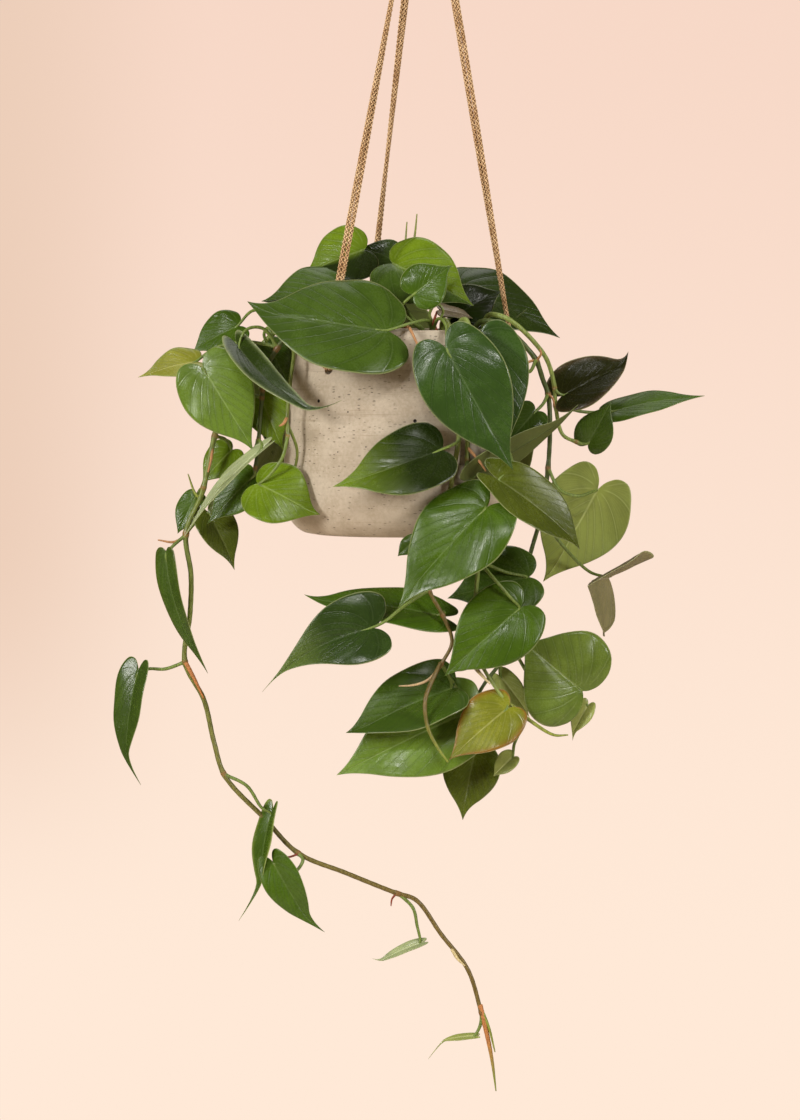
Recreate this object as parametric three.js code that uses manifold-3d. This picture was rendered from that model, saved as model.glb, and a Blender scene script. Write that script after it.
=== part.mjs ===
// Heartleaf philodendron in a stoneware pot that hangs on three doubled cords.
// Millimetres, +Z up, +X to the right of the picture, +Y away from the viewer.
// The origin is the hanging point: the inner top of the metal ring above the cords.

import * as THREE from 'three';
import { mergeVertices } from 'three/addons/utils/BufferGeometryUtils.js';
import Module from 'manifold-3d';

const wasm = await Module();
wasm.setup();

// Driving dimensions

const POT_X = -16;                 // the pot's axis, a little left of the hanging point
const RIM_Z = -396;
const POT_HEIGHT = 142;
const POT_WALL = 6.5;
const POT_FLOOR = 8;
const POT_FOOT_RADIUS = 60;
const SOIL_BELOW_RIM = 35;
const SOIL_CROWN = 3;              // the soil is this much higher at the middle
const CORD_DIAMETER = 3.2;
const CORD_PITCH = 3.5;            // between the middles of the two runs of one doubled cord
const CORD_BEND = 3.6;             // centreline radius where the cord turns into its hole
const HOLE_BELOW_RIM = 26;
const HOLE_RADIUS = 3.7;
const HOLE_LIFT = 0.7;             // the cord is pulled to the upper part of its hole
const CORD_AZIMUTHS = { right: -11, back: 109, left: 229 };
const KNOT_RADIUS = 6.6;
const KNOT_LENGTH = 8;
const KNOT_ROUNDING = 1.7;
const KNOT_LOOP = [[5, 3.2], [9, 3.6], [12, 0], [9, -3.6], [5, -3.2]];   // past the knot, aside
const RING_INNER_RADIUS = 14;
const RING_WIRE = 4;
const WRAP_RADIUS = 8.6;
const WRAP_TOP_Z = -37;
const WRAP_HEIGHT = 20;
const WRAP_ROUNDING = 1.7;
const LOOP_CORD_RADIUS = 2.2;      // the cord of the loop that holds the ring
const BUNDLE_RADIUS = 4.4;         // the six cord runs stand on this circle under the wrap
const LEG_TWIST = Math.PI;         // the two runs of a doubled cord make half a turn
const LEG_STEPS = 8;
const TOUCH_GAP = 0.3;
const BLADE_THICKNESS = 0.7;
const PETIOLE_RADIUS = 1.25;
const STEM_RADIUS = 1.9;
const STEM_HOLE_GAP = 0.4;
const STEM_HOLE_DEPTH = 20;

// Picture frame: a picture place [across, down, depth] is a point in space

const PICTURE_SCALE = 0.7;         // millimetres for one step of the picture at depth 0
const PICTURE_MIDDLE = { across: 400, down: 560 };
const HANGING_POINT = { across: 424, down: -235 };
const EYE_DISTANCE = 4000;
const EYE_ELEVATION = THREE.MathUtils.degToRad(2.9);

const target = new THREE.Vector3(
  (PICTURE_MIDDLE.across - HANGING_POINT.across) * PICTURE_SCALE,
  0,
  (HANGING_POINT.down - PICTURE_MIDDLE.down) * PICTURE_SCALE,
);
const forward = new THREE.Vector3(0, Math.cos(EYE_ELEVATION), -Math.sin(EYE_ELEVATION));
const upward = new THREE.Vector3(0, Math.sin(EYE_ELEVATION), Math.cos(EYE_ELEVATION));
const eye = target.clone().addScaledVector(forward, -EYE_DISTANCE);

// The point at a depth that the viewer sees at a place in the picture
function seen([across, down, depth]) {
  const ray = forward.clone().multiplyScalar(EYE_DISTANCE);
  ray.x += (across - PICTURE_MIDDLE.across) * PICTURE_SCALE;
  ray.addScaledVector(upward, (PICTURE_MIDDLE.down - down) * PICTURE_SCALE);
  return eye.clone().addScaledVector(ray, (depth - eye.y) / ray.y);
}

// Materials

const material = (color, roughness, metalness = 0) =>
  new THREE.MeshStandardMaterial({ color, roughness, metalness });

const stoneware = material(0xb5a996, 0.85);
const soilBrown = material(0x3a2a20, 1);
const tanCord = material(0xc89f68, 0.9);
const steel = material(0xb9babb, 0.35, 1);
const leafGreen = material(0x3f7427, 0.4);

// Solids and joins

const group = new THREE.Group();

function addPiece(name, geometry, pieceMaterial) {
  const mesh = new THREE.Mesh(geometry, pieceMaterial);
  mesh.name = name;
  group.add(mesh);
}

function toSolid(geometry) {
  const bare = new THREE.BufferGeometry();
  bare.setAttribute('position', geometry.getAttribute('position').clone());
  if (geometry.index) {
    bare.setIndex(geometry.index.clone());
  }
  const merged = mergeVertices(bare, 1e-4);
  return new wasm.Manifold(new wasm.Mesh({
    numProp: 3,
    vertProperties: new Float32Array(merged.getAttribute('position').array),
    triVerts: new Uint32Array(merged.index.array),
  }));
}

function toGeometry(solid) {
  const mesh = solid.getMesh();
  const geometry = new THREE.BufferGeometry();
  geometry.setAttribute('position', new THREE.BufferAttribute(mesh.vertProperties, 3));
  geometry.setIndex(new THREE.BufferAttribute(mesh.triVerts, 1));
  geometry.computeVertexNormals();
  return geometry;
}

const join = (solids) => solids.reduce((whole, next) => whole.add(next));
const cut = (solid, tools) => tools.reduce((rest, tool) => rest.subtract(tool), solid);

// A curve whose even steps are even in its points, so that steps are close where they are
class SteppedCurve extends THREE.CatmullRomCurve3 {
  getPointAt(u, out) {
    return this.getPoint(u, out);
  }

  getTangentAt(u, out) {
    return this.getTangent(u, out);
  }

  getSpacedPoints(count) {
    return this.getPoints(count);
  }
}

// Pot

const potProfile = [
  [70, 0], [74.4, -18], [78.1, -38], [80.5, -62], [81.9, -94], [82.2, -112],
  [80.6, -124], [76, -134], [69, -140], [POT_FOOT_RADIUS, -POT_HEIGHT],
];

// The outer radius of the pot at a height below its rim
function potRadius(below) {
  const after = potProfile.findIndex(([, z]) => z <= -below);
  const [r1, z1] = potProfile[after];
  const [r0, z0] = potProfile[Math.max(after - 1, 0)];
  return z1 === z0 ? r1 : THREE.MathUtils.mapLinear(-below, z0, z1, r0, r1);
}

const innerDepths = [POT_HEIGHT - POT_FLOOR, 124, 94, 62, 38, 18, 1.5];

function lathe(profile, turns) {
  const points = profile.map(([r, z]) => new THREE.Vector2(r, z));
  const geometry = new THREE.LatheGeometry(points, turns);
  geometry.rotateX(Math.PI / 2);
  return geometry;
}

const innerWall = innerDepths.map((below, i) => [
  i === 0 ? POT_FOOT_RADIUS - 4 : potRadius(below) - POT_WALL,
  -below,
]);
const potOutline = [
  [0, -POT_HEIGHT],
  ...potProfile.slice().reverse(),
  [69, 0.9],
  [potRadius(0) - POT_WALL + 1.2, 0.9],
  ...innerWall.slice().reverse(),
  [0, -(POT_HEIGHT - POT_FLOOR)],
];
const potBody = lathe(potOutline, 30);
potBody.translate(POT_X, 0, RIM_Z);

const radial = (azimuth) => {
  const angle = THREE.MathUtils.degToRad(azimuth);
  return new THREE.Vector3(Math.cos(angle), Math.sin(angle), 0);
};
const tangential = (azimuth) => radial(azimuth + 90);
const holeMiddle = (azimuth, distance) =>
  radial(azimuth).multiplyScalar(distance).add(new THREE.Vector3(POT_X, 0, RIM_Z - HOLE_BELOW_RIM));

// A straight hole for a doubled cord, through the wall
function cordHole(azimuth) {
  const drill = new THREE.CylinderGeometry(HOLE_RADIUS, HOLE_RADIUS, 6 * POT_WALL, 16);
  drill.applyQuaternion(new THREE.Quaternion().setFromUnitVectors(
    new THREE.Vector3(0, 1, 0), radial(azimuth),
  ));
  const middle = holeMiddle(azimuth, potRadius(HOLE_BELOW_RIM));
  drill.translate(middle.x, middle.y, middle.z);
  return toSolid(drill);
}

const drilledPot = cut(toSolid(potBody), Object.values(CORD_AZIMUTHS).map(cordHole));
addPiece('ceramic_pot', toGeometry(drilledPot), stoneware);

// Cords: one doubled cord for each leg, knotted inside the wall

const wrapBottom = WRAP_TOP_Z - WRAP_HEIGHT;
const outerRun = potRadius(HOLE_BELOW_RIM) + TOUCH_GAP + CORD_BEND;
const innerFace = potRadius(HOLE_BELOW_RIM) - POT_WALL;
const cordLevel = RIM_Z - HOLE_BELOW_RIM + HOLE_LIFT;

// One run of a doubled cord from the wrap to its bend over the hole, side is 1 or -1
function legRun(azimuth, side) {
  const out = radial(azimuth);
  const across = tangential(azimuth);
  const top = out.clone().multiplyScalar(BUNDLE_RADIUS * Math.cos(Math.PI / 6));
  top.z = wrapBottom - 3 * TOUCH_GAP;
  const bottom = out.clone().multiplyScalar(outerRun);
  bottom.x += POT_X;
  bottom.z = cordLevel + CORD_BEND + 2;
  const along = bottom.clone().sub(top).normalize();
  const normal = across.clone().cross(along).normalize();
  const points = [];
  for (let i = 0; i <= LEG_STEPS; i += 1) {
    const t = i / LEG_STEPS;
    const turn = LEG_TWIST * (1 - t);
    const place = top.clone().lerp(bottom, t);
    place.addScaledVector(across, side * Math.cos(turn) * CORD_PITCH / 2);
    place.addScaledVector(normal, side * Math.sin(turn) * CORD_PITCH / 2);
    points.push(place);
  }
  return points;
}

// The bend over the edge of the hole and the way through the wall and the knot
function legEntry(azimuth, side) {
  const out = radial(azimuth);
  const across = tangential(azimuth);
  const place = (distance, height) => out.clone().multiplyScalar(distance)
    .addScaledVector(across, side * CORD_PITCH / 2)
    .add(new THREE.Vector3(POT_X, 0, height));
  const points = [];
  for (const degrees of [20, 55, 90]) {
    const turn = THREE.MathUtils.degToRad(degrees);
    points.push(place(
      outerRun - CORD_BEND + CORD_BEND * Math.cos(turn),
      cordLevel + CORD_BEND - CORD_BEND * Math.sin(turn),
    ));
  }
  points.push(place(innerFace, cordLevel));
  points.push(place(innerFace - KNOT_LENGTH - 1, cordLevel));
  return points;
}

// The loop past the knot
function legLoop(azimuth) {
  const out = radial(azimuth);
  const across = tangential(azimuth);
  const reach = innerFace - KNOT_LENGTH;
  return KNOT_LOOP.map(([past, side]) =>
    out.clone().multiplyScalar(reach - past)
      .addScaledVector(across, side)
      .add(new THREE.Vector3(POT_X, 0, cordLevel)));
}

function cordTube(points) {
  const section = new THREE.Shape();
  const sides = 8;
  for (let i = 0; i < sides; i += 1) {
    const angle = (2 * Math.PI * i) / sides;
    const x = (CORD_DIAMETER / 2) * Math.cos(angle);
    const y = (CORD_DIAMETER / 2) * Math.sin(angle);
    if (i === 0) {
      section.moveTo(x, y);
    } else {
      section.lineTo(x, y);
    }
  }
  return new THREE.ExtrudeGeometry(section, {
    steps: points.length - 1,
    extrudePath: new SteppedCurve(points),
  });
}

const KNOT_SIDES = 12;

// The knot is a short fat sleeve round both runs, against the inside of the wall
function knotRing(azimuth) {
  const bore = (CORD_PITCH / 2 + CORD_DIAMETER / 2 + TOUCH_GAP) / Math.cos(Math.PI / KNOT_SIDES);
  const back = KNOT_LENGTH;
  const ring = new THREE.LatheGeometry([
    [bore, 0], [KNOT_RADIUS - KNOT_ROUNDING, 0], [KNOT_RADIUS, KNOT_ROUNDING],
    [KNOT_RADIUS, back - KNOT_ROUNDING], [KNOT_RADIUS - KNOT_ROUNDING, back], [bore, back],
    [bore, 0],
  ].map(([r, z]) => new THREE.Vector2(r, z)), KNOT_SIDES);
  ring.applyQuaternion(new THREE.Quaternion().setFromUnitVectors(
    new THREE.Vector3(0, 1, 0), radial(azimuth).negate(),
  ));
  const seat = holeMiddle(azimuth, innerFace - 6 * TOUCH_GAP);
  ring.translate(seat.x, seat.y, cordLevel);
  return ring;
}

for (const [side, azimuth] of Object.entries(CORD_AZIMUTHS)) {
  const down = [...legRun(azimuth, 1), ...legEntry(azimuth, 1)];
  const up = [...legRun(azimuth, -1), ...legEntry(azimuth, -1)].reverse();
  addPiece(`cord_${side}`, cordTube([...down, ...legLoop(azimuth), ...up]), tanCord);
  addPiece(`knot_${side}`, knotRing(azimuth), tanCord);
}

// Hanger: the cords are whipped together in a barrel whose loop holds a steel ring

const ringMiddle = -RING_INNER_RADIUS;
const ringRadius = RING_INNER_RADIUS + RING_WIRE / 2;
const ring = new THREE.TorusGeometry(ringRadius, RING_WIRE / 2, 8, 24);
ring.rotateX(Math.PI / 2);
ring.translate(0, 0, ringMiddle);
addPiece('hanger_ring', ring, steel);

const loopRadius = RING_WIRE / 2 + LOOP_CORD_RADIUS + TOUCH_GAP;
const loopLevel = ringMiddle - ringRadius;
const loopEnd = WRAP_TOP_Z - 6;
const loopPoints = [new THREE.Vector3(0, -loopRadius, loopEnd)];
for (let i = 0; i <= 8; i += 1) {
  const turn = Math.PI + (Math.PI * i) / 8;
  loopPoints.push(new THREE.Vector3(
    0,
    loopRadius * Math.cos(turn),
    loopLevel - loopRadius * Math.sin(turn),
  ));
}
loopPoints.push(new THREE.Vector3(0, loopRadius, loopEnd));
const wrapBarrel = lathe([
  [0, wrapBottom], [WRAP_RADIUS - WRAP_ROUNDING, wrapBottom],
  [WRAP_RADIUS, wrapBottom + WRAP_ROUNDING], [WRAP_RADIUS, WRAP_TOP_Z - WRAP_ROUNDING],
  [WRAP_RADIUS - WRAP_ROUNDING, WRAP_TOP_Z], [0, WRAP_TOP_Z],
], 18);
const wrapLoop = limb({ route: loopPoints, radius: LOOP_CORD_RADIUS, sides: 8 });
addPiece('cord_wrap', toGeometry(toSolid(wrapBarrel).add(wrapLoop)), tanCord);

// A limb of a plant, a closed tube that may narrow to its tip, as a solid
function limb({ route, radius, tipRadius = radius, sides = 5 }) {
  const curve = new SteppedCurve(route);
  const steps = route.length - 1;
  const frames = curve.computeFrenetFrames(steps, false);
  const positions = [];
  const faces = [];
  for (let i = 0; i <= steps; i += 1) {
    const middle = curve.getPoint(i / steps);
    const reach = THREE.MathUtils.lerp(radius, tipRadius, (i / steps) ** 2);
    for (let k = 0; k < sides; k += 1) {
      const angle = (2 * Math.PI * k) / sides;
      const place = middle.clone()
        .addScaledVector(frames.normals[i], reach * Math.cos(angle))
        .addScaledVector(frames.binormals[i], reach * Math.sin(angle));
      positions.push(place.x, place.y, place.z);
    }
  }
  const start = positions.length / 3;
  for (const end of [curve.getPoint(0), curve.getPoint(1)]) {
    positions.push(end.x, end.y, end.z);
  }
  for (let k = 0; k < sides; k += 1) {
    const next = (k + 1) % sides;
    faces.push(start, next, k);
    faces.push(start + 1, steps * sides + k, steps * sides + next);
    for (let i = 0; i < steps; i += 1) {
      const here = i * sides;
      faces.push(here + k, here + next, here + sides + next);
      faces.push(here + k, here + sides + next, here + sides + k);
    }
  }
  const geometry = new THREE.BufferGeometry();
  geometry.setAttribute('position', new THREE.Float32BufferAttribute(positions, 3));
  geometry.setIndex(faces);
  return toSolid(geometry);
}

// Leaf blade: half of a heart, across and along, in parts of the length from its
// joint to its tip. The lobes reach back past the joint.

const halfHeart = new THREE.SplineCurve([
  [0, 0], [0.04, -0.07], [0.13, -0.13], [0.25, -0.12], [0.35, -0.01], [0.41, 0.15],
  [0.42, 0.32], [0.37, 0.5], [0.26, 0.68], [0.13, 0.83], [0.045, 0.93], [0, 1],
].map(([x, y]) => new THREE.Vector2(x, y)));
const HEART_HALF_WIDTH = 0.42;

// The upper face looks to face = [side, up], in degrees, from straight at the viewer
function facing([side, up]) {
  const across = THREE.MathUtils.degToRad(side);
  const rise = THREE.MathUtils.degToRad(up);
  return new THREE.Vector3(
    Math.sin(across) * Math.cos(rise),
    -Math.cos(across) * Math.cos(rise),
    Math.sin(rise),
  );
}

// A place on a bent blade. The flat place is across (parts of half the width, signed)
// and along (parts of the length). Lift is along the upper face.
function bladePlace(leaf, across, along, lift) {
  const { joint, tip, width } = leaf;
  const { fold, cup, bow, sway, twist, wave, hook, taper, phase } = leaf;
  const axis = tip.clone().sub(joint);
  const length = axis.length();
  axis.normalize();
  const face = leaf.look.clone().addScaledVector(axis, -leaf.look.dot(axis)).normalize();
  const right = axis.clone().cross(face);
  const arch = 4 * along * (1 - along);
  const curl = Math.max(along - 0.75, 0) / 0.25;
  const middle = joint.clone()
    .addScaledVector(axis, along * length)
    .addScaledVector(face, (bow * arch + hook * curl * curl) * length)
    .addScaledVector(right, sway * arch * length);
  const heading = axis.clone()
    .addScaledVector(face, 4 * bow * (1 - 2 * along))
    .addScaledVector(right, 4 * sway * (1 - 2 * along))
    .normalize();
  const turned = face.clone().applyAxisAngle(axis, twist * along);
  const normal = turned.addScaledVector(heading, -turned.dot(heading)).normalize();
  const side = heading.clone().cross(normal);
  const sign = Math.sign(across);
  const share = Math.abs(across);
  const reach = share * (width / 2) * (1 - taper * along);
  const angle = fold + cup * share / 2;
  const slope = fold + cup * share;
  const ripple = wave * width * share * share
    * Math.sin(2 * Math.PI * 1.6 * along + phase + sign);
  return middle
    .addScaledVector(side, sign * (reach * Math.cos(angle) - lift * Math.sin(slope) * share))
    .addScaledVector(normal, reach * Math.sin(angle) + ripple + lift * Math.cos(slope * share));
}

// The closed blade, with its two faces split alike
function blade(leaf, rows, columns) {
  const positions = [];
  const faces = [];
  const rings = [];
  const add = (across, along, lift) => {
    const place = bladePlace(leaf, across, along, lift);
    positions.push(place.x, place.y, place.z);
    return positions.length / 3 - 1;
  };
  for (const lift of [BLADE_THICKNESS / 2, -BLADE_THICKNESS / 2]) {
    const lines = [];
    for (let i = 0; i <= rows; i += 1) {
      const u = i / rows;
      const edge = halfHeart.getPoint(u);
      const lobe = edge.y < 0 ? edge.y * leaf.lobe : edge.y;
      const rib = u * u;
      const line = [];
      for (let k = -columns; k <= columns; k += 1) {
        const share = Math.abs(k) / columns;
        const pole = i === 0 || i === rows;
        if (pole && k > -columns) {
          line.push(line[0]);
        } else {
          const across = pole ? 0 : Math.sign(k) * share * edge.x / HEART_HALF_WIDTH;
          line.push(add(across, pole ? u : THREE.MathUtils.lerp(rib, lobe, share), lift));
        }
      }
      lines.push(line);
    }
    rings.push(lines);
  }
  const triangle = (a, b, c) => {
    if (a !== b && b !== c && a !== c) {
      faces.push(a, b, c);
    }
  };
  for (let i = 0; i < rows; i += 1) {
    for (let k = 0; k < 2 * columns; k += 1) {
      const flip = k < columns;
      rings.forEach((lines, under) => {
        const a = lines[i][k];
        const b = lines[i][k + 1];
        const c = lines[i + 1][k + 1];
        const d = lines[i + 1][k];
        const cells = flip ? [[a, b, c], [a, c, d]] : [[a, b, d], [b, c, d]];
        for (const [p, q, r] of cells) {
          if (under) {
            triangle(p, r, q);
          } else {
            triangle(p, q, r);
          }
        }
      });
    }
    const [top, bottom] = rings;
    const last = 2 * columns;
    triangle(top[i][0], top[i + 1][0], bottom[i + 1][0]);
    triangle(top[i][0], bottom[i + 1][0], bottom[i][0]);
    triangle(top[i][last], bottom[i][last], bottom[i + 1][last]);
    triangle(top[i][last], bottom[i + 1][last], top[i + 1][last]);
  }
  const geometry = new THREE.BufferGeometry();
  geometry.setAttribute('position', new THREE.Float32BufferAttribute(positions, 3));
  geometry.setIndex(faces);
  return toSolid(geometry);
}

// A blade's rows and columns of faces, fewer on a short one
function bladeSteps(length) {
  if (length > 80) {
    return [6, 2];
  }
  return length > 34 ? [5, 1] : [4, 1];
}

const plainShape = {
  fold: 10, cup: -16, bow: 0.05, sway: 0, twist: 0, wave: 0.03, hook: 0, lobe: 1, taper: 0, phase: 0,
};

// A leaf row in the tables below becomes a leaf with its values in radians
function leafFrom(row, index) {
  const whole = { ...plainShape, phase: 1.7 * index, ...row };
  const joint = row.base.isVector3 ? row.base : seen(row.base);
  const tip = row.tip.isVector3 ? row.tip : seen(row.tip);
  return {
    ...whole,
    joint,
    tip,
    look: facing(row.face),
    fold: THREE.MathUtils.degToRad(whole.fold),
    cup: THREE.MathUtils.degToRad(whole.cup),
    twist: THREE.MathUtils.degToRad(whole.twist),
  };
}

// A blade and its petiole, which runs from a place inside the stem into the midrib
function leafSolids(row, index) {
  const leaf = leafFrom(row, index);
  const route = row.petiole.map((place) => (place.isVector3 ? place : seen(place)));
  route.push(bladePlace(leaf, 0, 0.02, 0));
  const [rows, columns] = bladeSteps(leaf.joint.distanceTo(leaf.tip));
  return [
    limb({ route, radius: PETIOLE_RADIUS, tipRadius: 0.9, sides: 3 }),
    blade(leaf, rows, columns),
  ];
}

// Leafy stems

// Where a stem stands in the soil, from the pot's axis, and its first way up
const soilTop = RIM_Z - SOIL_BELOW_RIM + SOIL_CROWN;
const standing = ({ x, y }) => [
  new THREE.Vector3(POT_X + x, y, soilTop - STEM_HOLE_DEPTH + TOUCH_GAP + 2),
  new THREE.Vector3(POT_X + x, y, soilTop - 2),
  new THREE.Vector3(POT_X + x, y, soilTop + 8),
];

function vineSolid({ root, stem, stemTip = 1.2, branches = [], leaves }) {
  const route = [...standing(root), ...stem.map(seen)];
  const solids = [limb({ route, radius: STEM_RADIUS, tipRadius: stemTip })];
  for (const { way, radius, tipRadius } of branches) {
    solids.push(limb({ route: way.map(seen), radius, tipRadius, sides: 4 }));
  }
  leaves.forEach((row, index) => solids.push(...leafSolids(row, index)));
  return join(solids);
}

const vines = {
  // Short stem at the back left of the crown
  crown_back: {
    root: { x: -22, y: 8 },
    stem: [[372, 345, 8], [371, 328, 8]],
    branches: [
      {
        way: [[371, 335, 8], [388, 300, 10], [404, 250, 10], [407, 222, 10]], radius: 1.2,
        tipRadius: 0.4,
      },
      {
        way: [[388, 300, 10], [406, 270, 5], [414, 240, 4], [417, 214, 4]], radius: 1.2,
        tipRadius: 0.4,
      },
    ],
    leaves: [
      {
        base: [364, 250, 8], tip: [308, 273, 2], width: 46, face: [-10, 25],
        petiole: [[371, 335, 8], [374, 300, 10], [369, 268, 9]],
      },
      {
        base: [345, 290, -10], tip: [267, 303, -22], width: 48, face: [-15, 35],
        petiole: [[372, 340, 8], [360, 308, 0]],
      },
      {
        base: [398, 262, 24], tip: [362, 247, 26], width: 26, face: [0, 20],
        petiole: [[371, 332, 8], [385, 300, 20], [396, 278, 24]],
      },
    ],
  },
  // Short stem at the front of the crown
  crown_front: {
    root: { x: 18, y: -24 },
    stem: [[430, 345, -38], [432, 330, -44]],
    leaves: [
      {
        base: [387, 328, -80], tip: [251, 311, -72], width: 74, face: [-5, 36], bow: 0.07, fold: 6,
        sway: -0.045, petiole: [[432, 333, -43], [428, 321, -58], [412, 323, -72]],
      },
      {
        base: [393, 264, -20], tip: [468, 303, -42], width: 56, face: [5, 30],
        petiole: [[431, 338, -41], [408, 312, -30], [392, 278, -22]],
      },
      {
        base: [414, 294, -60], tip: [448, 268, -54], width: 34, face: [0, 15],
        petiole: [[431, 336, -42], [412, 322, -52], [401, 308, -58]],
      },
      {
        base: [446, 348, -95], tip: [509, 463, -97], width: 61, face: [-5, 12], bow: 0.05,
        petiole: [[432, 333, -43], [438, 319, -60], [446, 326, -82]],
      },
    ],
  },
  // Short stem at the right of the crown
  crown_right: {
    root: { x: 36, y: 12 },
    stem: [[452, 345, 10], [455, 332, 10]],
    branches: [
      {
        way: [[455, 335, 10], [485, 326, 14], [512, 320, 16], [527, 309, 16]], radius: 1.2,
        tipRadius: 0.4,
      },
    ],
    leaves: [
      {
        base: [460, 287, 18], tip: [553, 335, 20], width: 52, face: [8, 46],
        petiole: [[455, 335, 10], [456, 310, 16]],
      },
      {
        base: [452, 318, 0], tip: [500, 292, 0], width: 40, face: [0, 30],
        petiole: [[455, 336, 10], [450, 328, 4]],
      },
      {
        base: [441, 310, -6], tip: [482, 321, -7], width: 26, face: [0, 68],
        petiole: [[455, 338, 10], [444, 322, 0]],
      },
    ],
  },
  // Long trailing stem at the left
  vine_long: {
    root: { x: -44, y: 2 },
    stem: [
      [320, 326, -3], [303, 320, -5], [285, 325, -5], [262, 345, -2], [240, 375, 0], [222, 410, -4],
      [213, 443, -10], [202, 493, -14], [186, 533, -16], [191, 575, -16], [190, 614, -16],
      [185, 662, -16], [204, 700, -16], [214, 742, -18], [225, 776, -20], [265, 819, -22],
      [298, 853, -24], [346, 873, -26], [396, 893, -28], [416, 900, -28], [441, 934, -28],
      [468, 970, -30], [482, 1015, -30],
    ],
    stemTip: 1.5,
    branches: [
      {
        way: [[480, 1005, -30], [486, 1030, -30], [492, 1060, -30], [496, 1091, -30]], radius: 1.9,
        tipRadius: 0.4,
      },
      { way: [[481, 1008, -30], [489, 1028, -31], [495, 1052, -32]], radius: 1.2, tipRadius: 0.4 },
      { way: [[213, 443, -10], [211, 460, -14], [208, 472, -17]], radius: 1.1, tipRadius: 0.5 },
      { way: [[186, 536, -16], [174, 542, -18], [158, 540, -19]], radius: 1.1, tipRadius: 0.5 },
      { way: [[202, 500, -14], [195, 493, -8], [188, 474, -6]], radius: 1.1, tipRadius: 0.4 },
    ],
    leaves: [
      {
        base: [232, 450, 2], tip: [203, 482, 0], width: 28, face: [-10, 30],
        petiole: [[215, 436, -9], [226, 440, -2]],
      },
      {
        base: [196, 497, -2], tip: [178, 533, -4], width: 20, face: [-10, 20],
        petiole: [[203, 488, -14], [200, 490, -6]],
      },
      {
        base: [208, 512, -10], tip: [233, 565, -16], width: 30, face: [10, 30], fold: 22,
        petiole: [[186, 533, -16], [198, 520, -13]],
      },
      {
        base: [166, 552, -20], tip: [206, 666, -22], width: 22, face: [-48, 15], fold: 26,
        sway: 0.05, petiole: [[186, 535, -16], [174, 545, -19]],
      },
      {
        base: [138, 672, -14], tip: [143, 782, -12], width: 32, face: [-40, 10], fold: 24,
        hook: 0.03, petiole: [[185, 662, -16], [165, 669, -15], [148, 669, -14]],
      },
      {
        base: [268, 816, -26], tip: [238, 919, -24], width: 26, face: [-50, 10], fold: 34,
        petiole: [[224, 774, -20], [247, 786, -24], [262, 808, -26]],
      },
      {
        base: [273, 862, -30], tip: [312, 926, -30], width: 28, face: [-25, 15], fold: 20,
        petiole: [[298, 853, -24], [303, 860, -28], [294, 872, -31], [281, 866, -31]],
      },
      {
        base: [421, 943, -30], tip: [373, 959, -30], width: 15, face: [0, 45], fold: 28,
        petiole: [[398, 893, -28], [413, 908, -29], [417, 925, -30]],
      },
      {
        base: [475, 1036, -30], tip: [429, 1059, -30], width: 12, face: [0, 45], fold: 28,
        petiole: [[482, 1013, -30], [480, 1026, -30]],
      },
    ],
  },
  // Shorter stem at the left, with the dense bunch of leaves beside the pot
  vine_left: {
    root: { x: -40, y: -18 },
    stem: [
      [322, 325, -22], [307, 320, -25], [293, 329, -28], [276, 350, -28], [265, 375, -28],
      [262, 398, -28], [258, 446, -30], [255, 470, -30],
    ],
    branches: [
      {
        way: [[293, 329, -28], [294, 352, -45], [290, 385, -54], [287, 420, -56], [288, 437, -58]],
        radius: 1.4, tipRadius: 1.2,
      },
      {
        way: [[288, 425, -56], [297, 450, -52], [294, 470, -48], [284, 484, -46]], radius: 1.1,
        tipRadius: 0.8,
      },
    ],
    leaves: [
      {
        base: [238, 346, -38], tip: [336, 408, -86], width: 30, face: [-25, 45], fold: 30,
        sway: 0.03, hook: 0.04, petiole: [[278, 347, -28], [262, 328, -34], [246, 330, -38]],
      },
      {
        base: [203, 368, -32], tip: [251, 445, -36], width: 52, face: [-8, 10], cup: -24,
        petiole: [[262, 398, -28], [236, 388, -20], [208, 373, -24]],
      },
      {
        base: [196, 362, -14], tip: [145, 376, -18], width: 22, face: [-10, 40], fold: 34,
        petiole: [[278, 347, -28], [247, 342, -18], [215, 348, -12]],
      },
      {
        base: [238, 326, 10], tip: [194, 350, 8], width: 32, face: [-15, 20],
        petiole: [[293, 329, -28], [274, 314, -14], [252, 311, 4]],
      },
      {
        base: [268, 345, -14], tip: [287, 383, -18], width: 26, face: [15, 20],
        petiole: [[276, 350, -28], [268, 328, -22], [264, 335, -16]],
      },
      {
        base: [262, 397, -18], tip: [284, 446, -22], width: 32, face: [-10, 20],
        petiole: [[262, 390, -28], [260, 388, -20]],
      },
      {
        base: [258, 484, -54], tip: [315, 515, -68], width: 48, face: [0, 25], fold: -12, cup: 20,
        petiole: [[288, 435, -58], [282, 458, -58], [267, 478, -56]],
      },
      {
        base: [252, 478, -26], tip: [212, 520, -24], width: 32, face: [-10, 25],
        petiole: [[255, 468, -30], [255, 474, -28]],
      },
      {
        base: [262, 449, -38], tip: [188, 531, -40], width: 17, face: [-40, 35], fold: 52, cup: 0,
        petiole: [[258, 440, -30], [262, 444, -36]],
      },
    ],
  },
  // Front stem, over the middle of the rim and down in front of the pot
  vine_front: {
    root: { x: 30, y: -42 },
    stem: [
      [442, 325, -46], [446, 321, -60], [454, 340, -74], [457, 370, -77], [459, 405, -78],
      [459, 437, -79], [454, 466, -80], [447, 496, -81], [428, 510, -82], [419, 531, -82],
      [421, 560, -80], [429, 590, -78], [444, 618, -78], [452, 642, -78], [441, 665, -78],
    ],
    branches: [
      {
        way: [
          [441, 663, -78], [431, 683, -84], [425, 702, -90], [428, 728, -92], [438, 748, -92],
          [448, 762, -90],
        ],
        radius: 1.6, tipRadius: 0.7,
      },
      {
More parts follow.
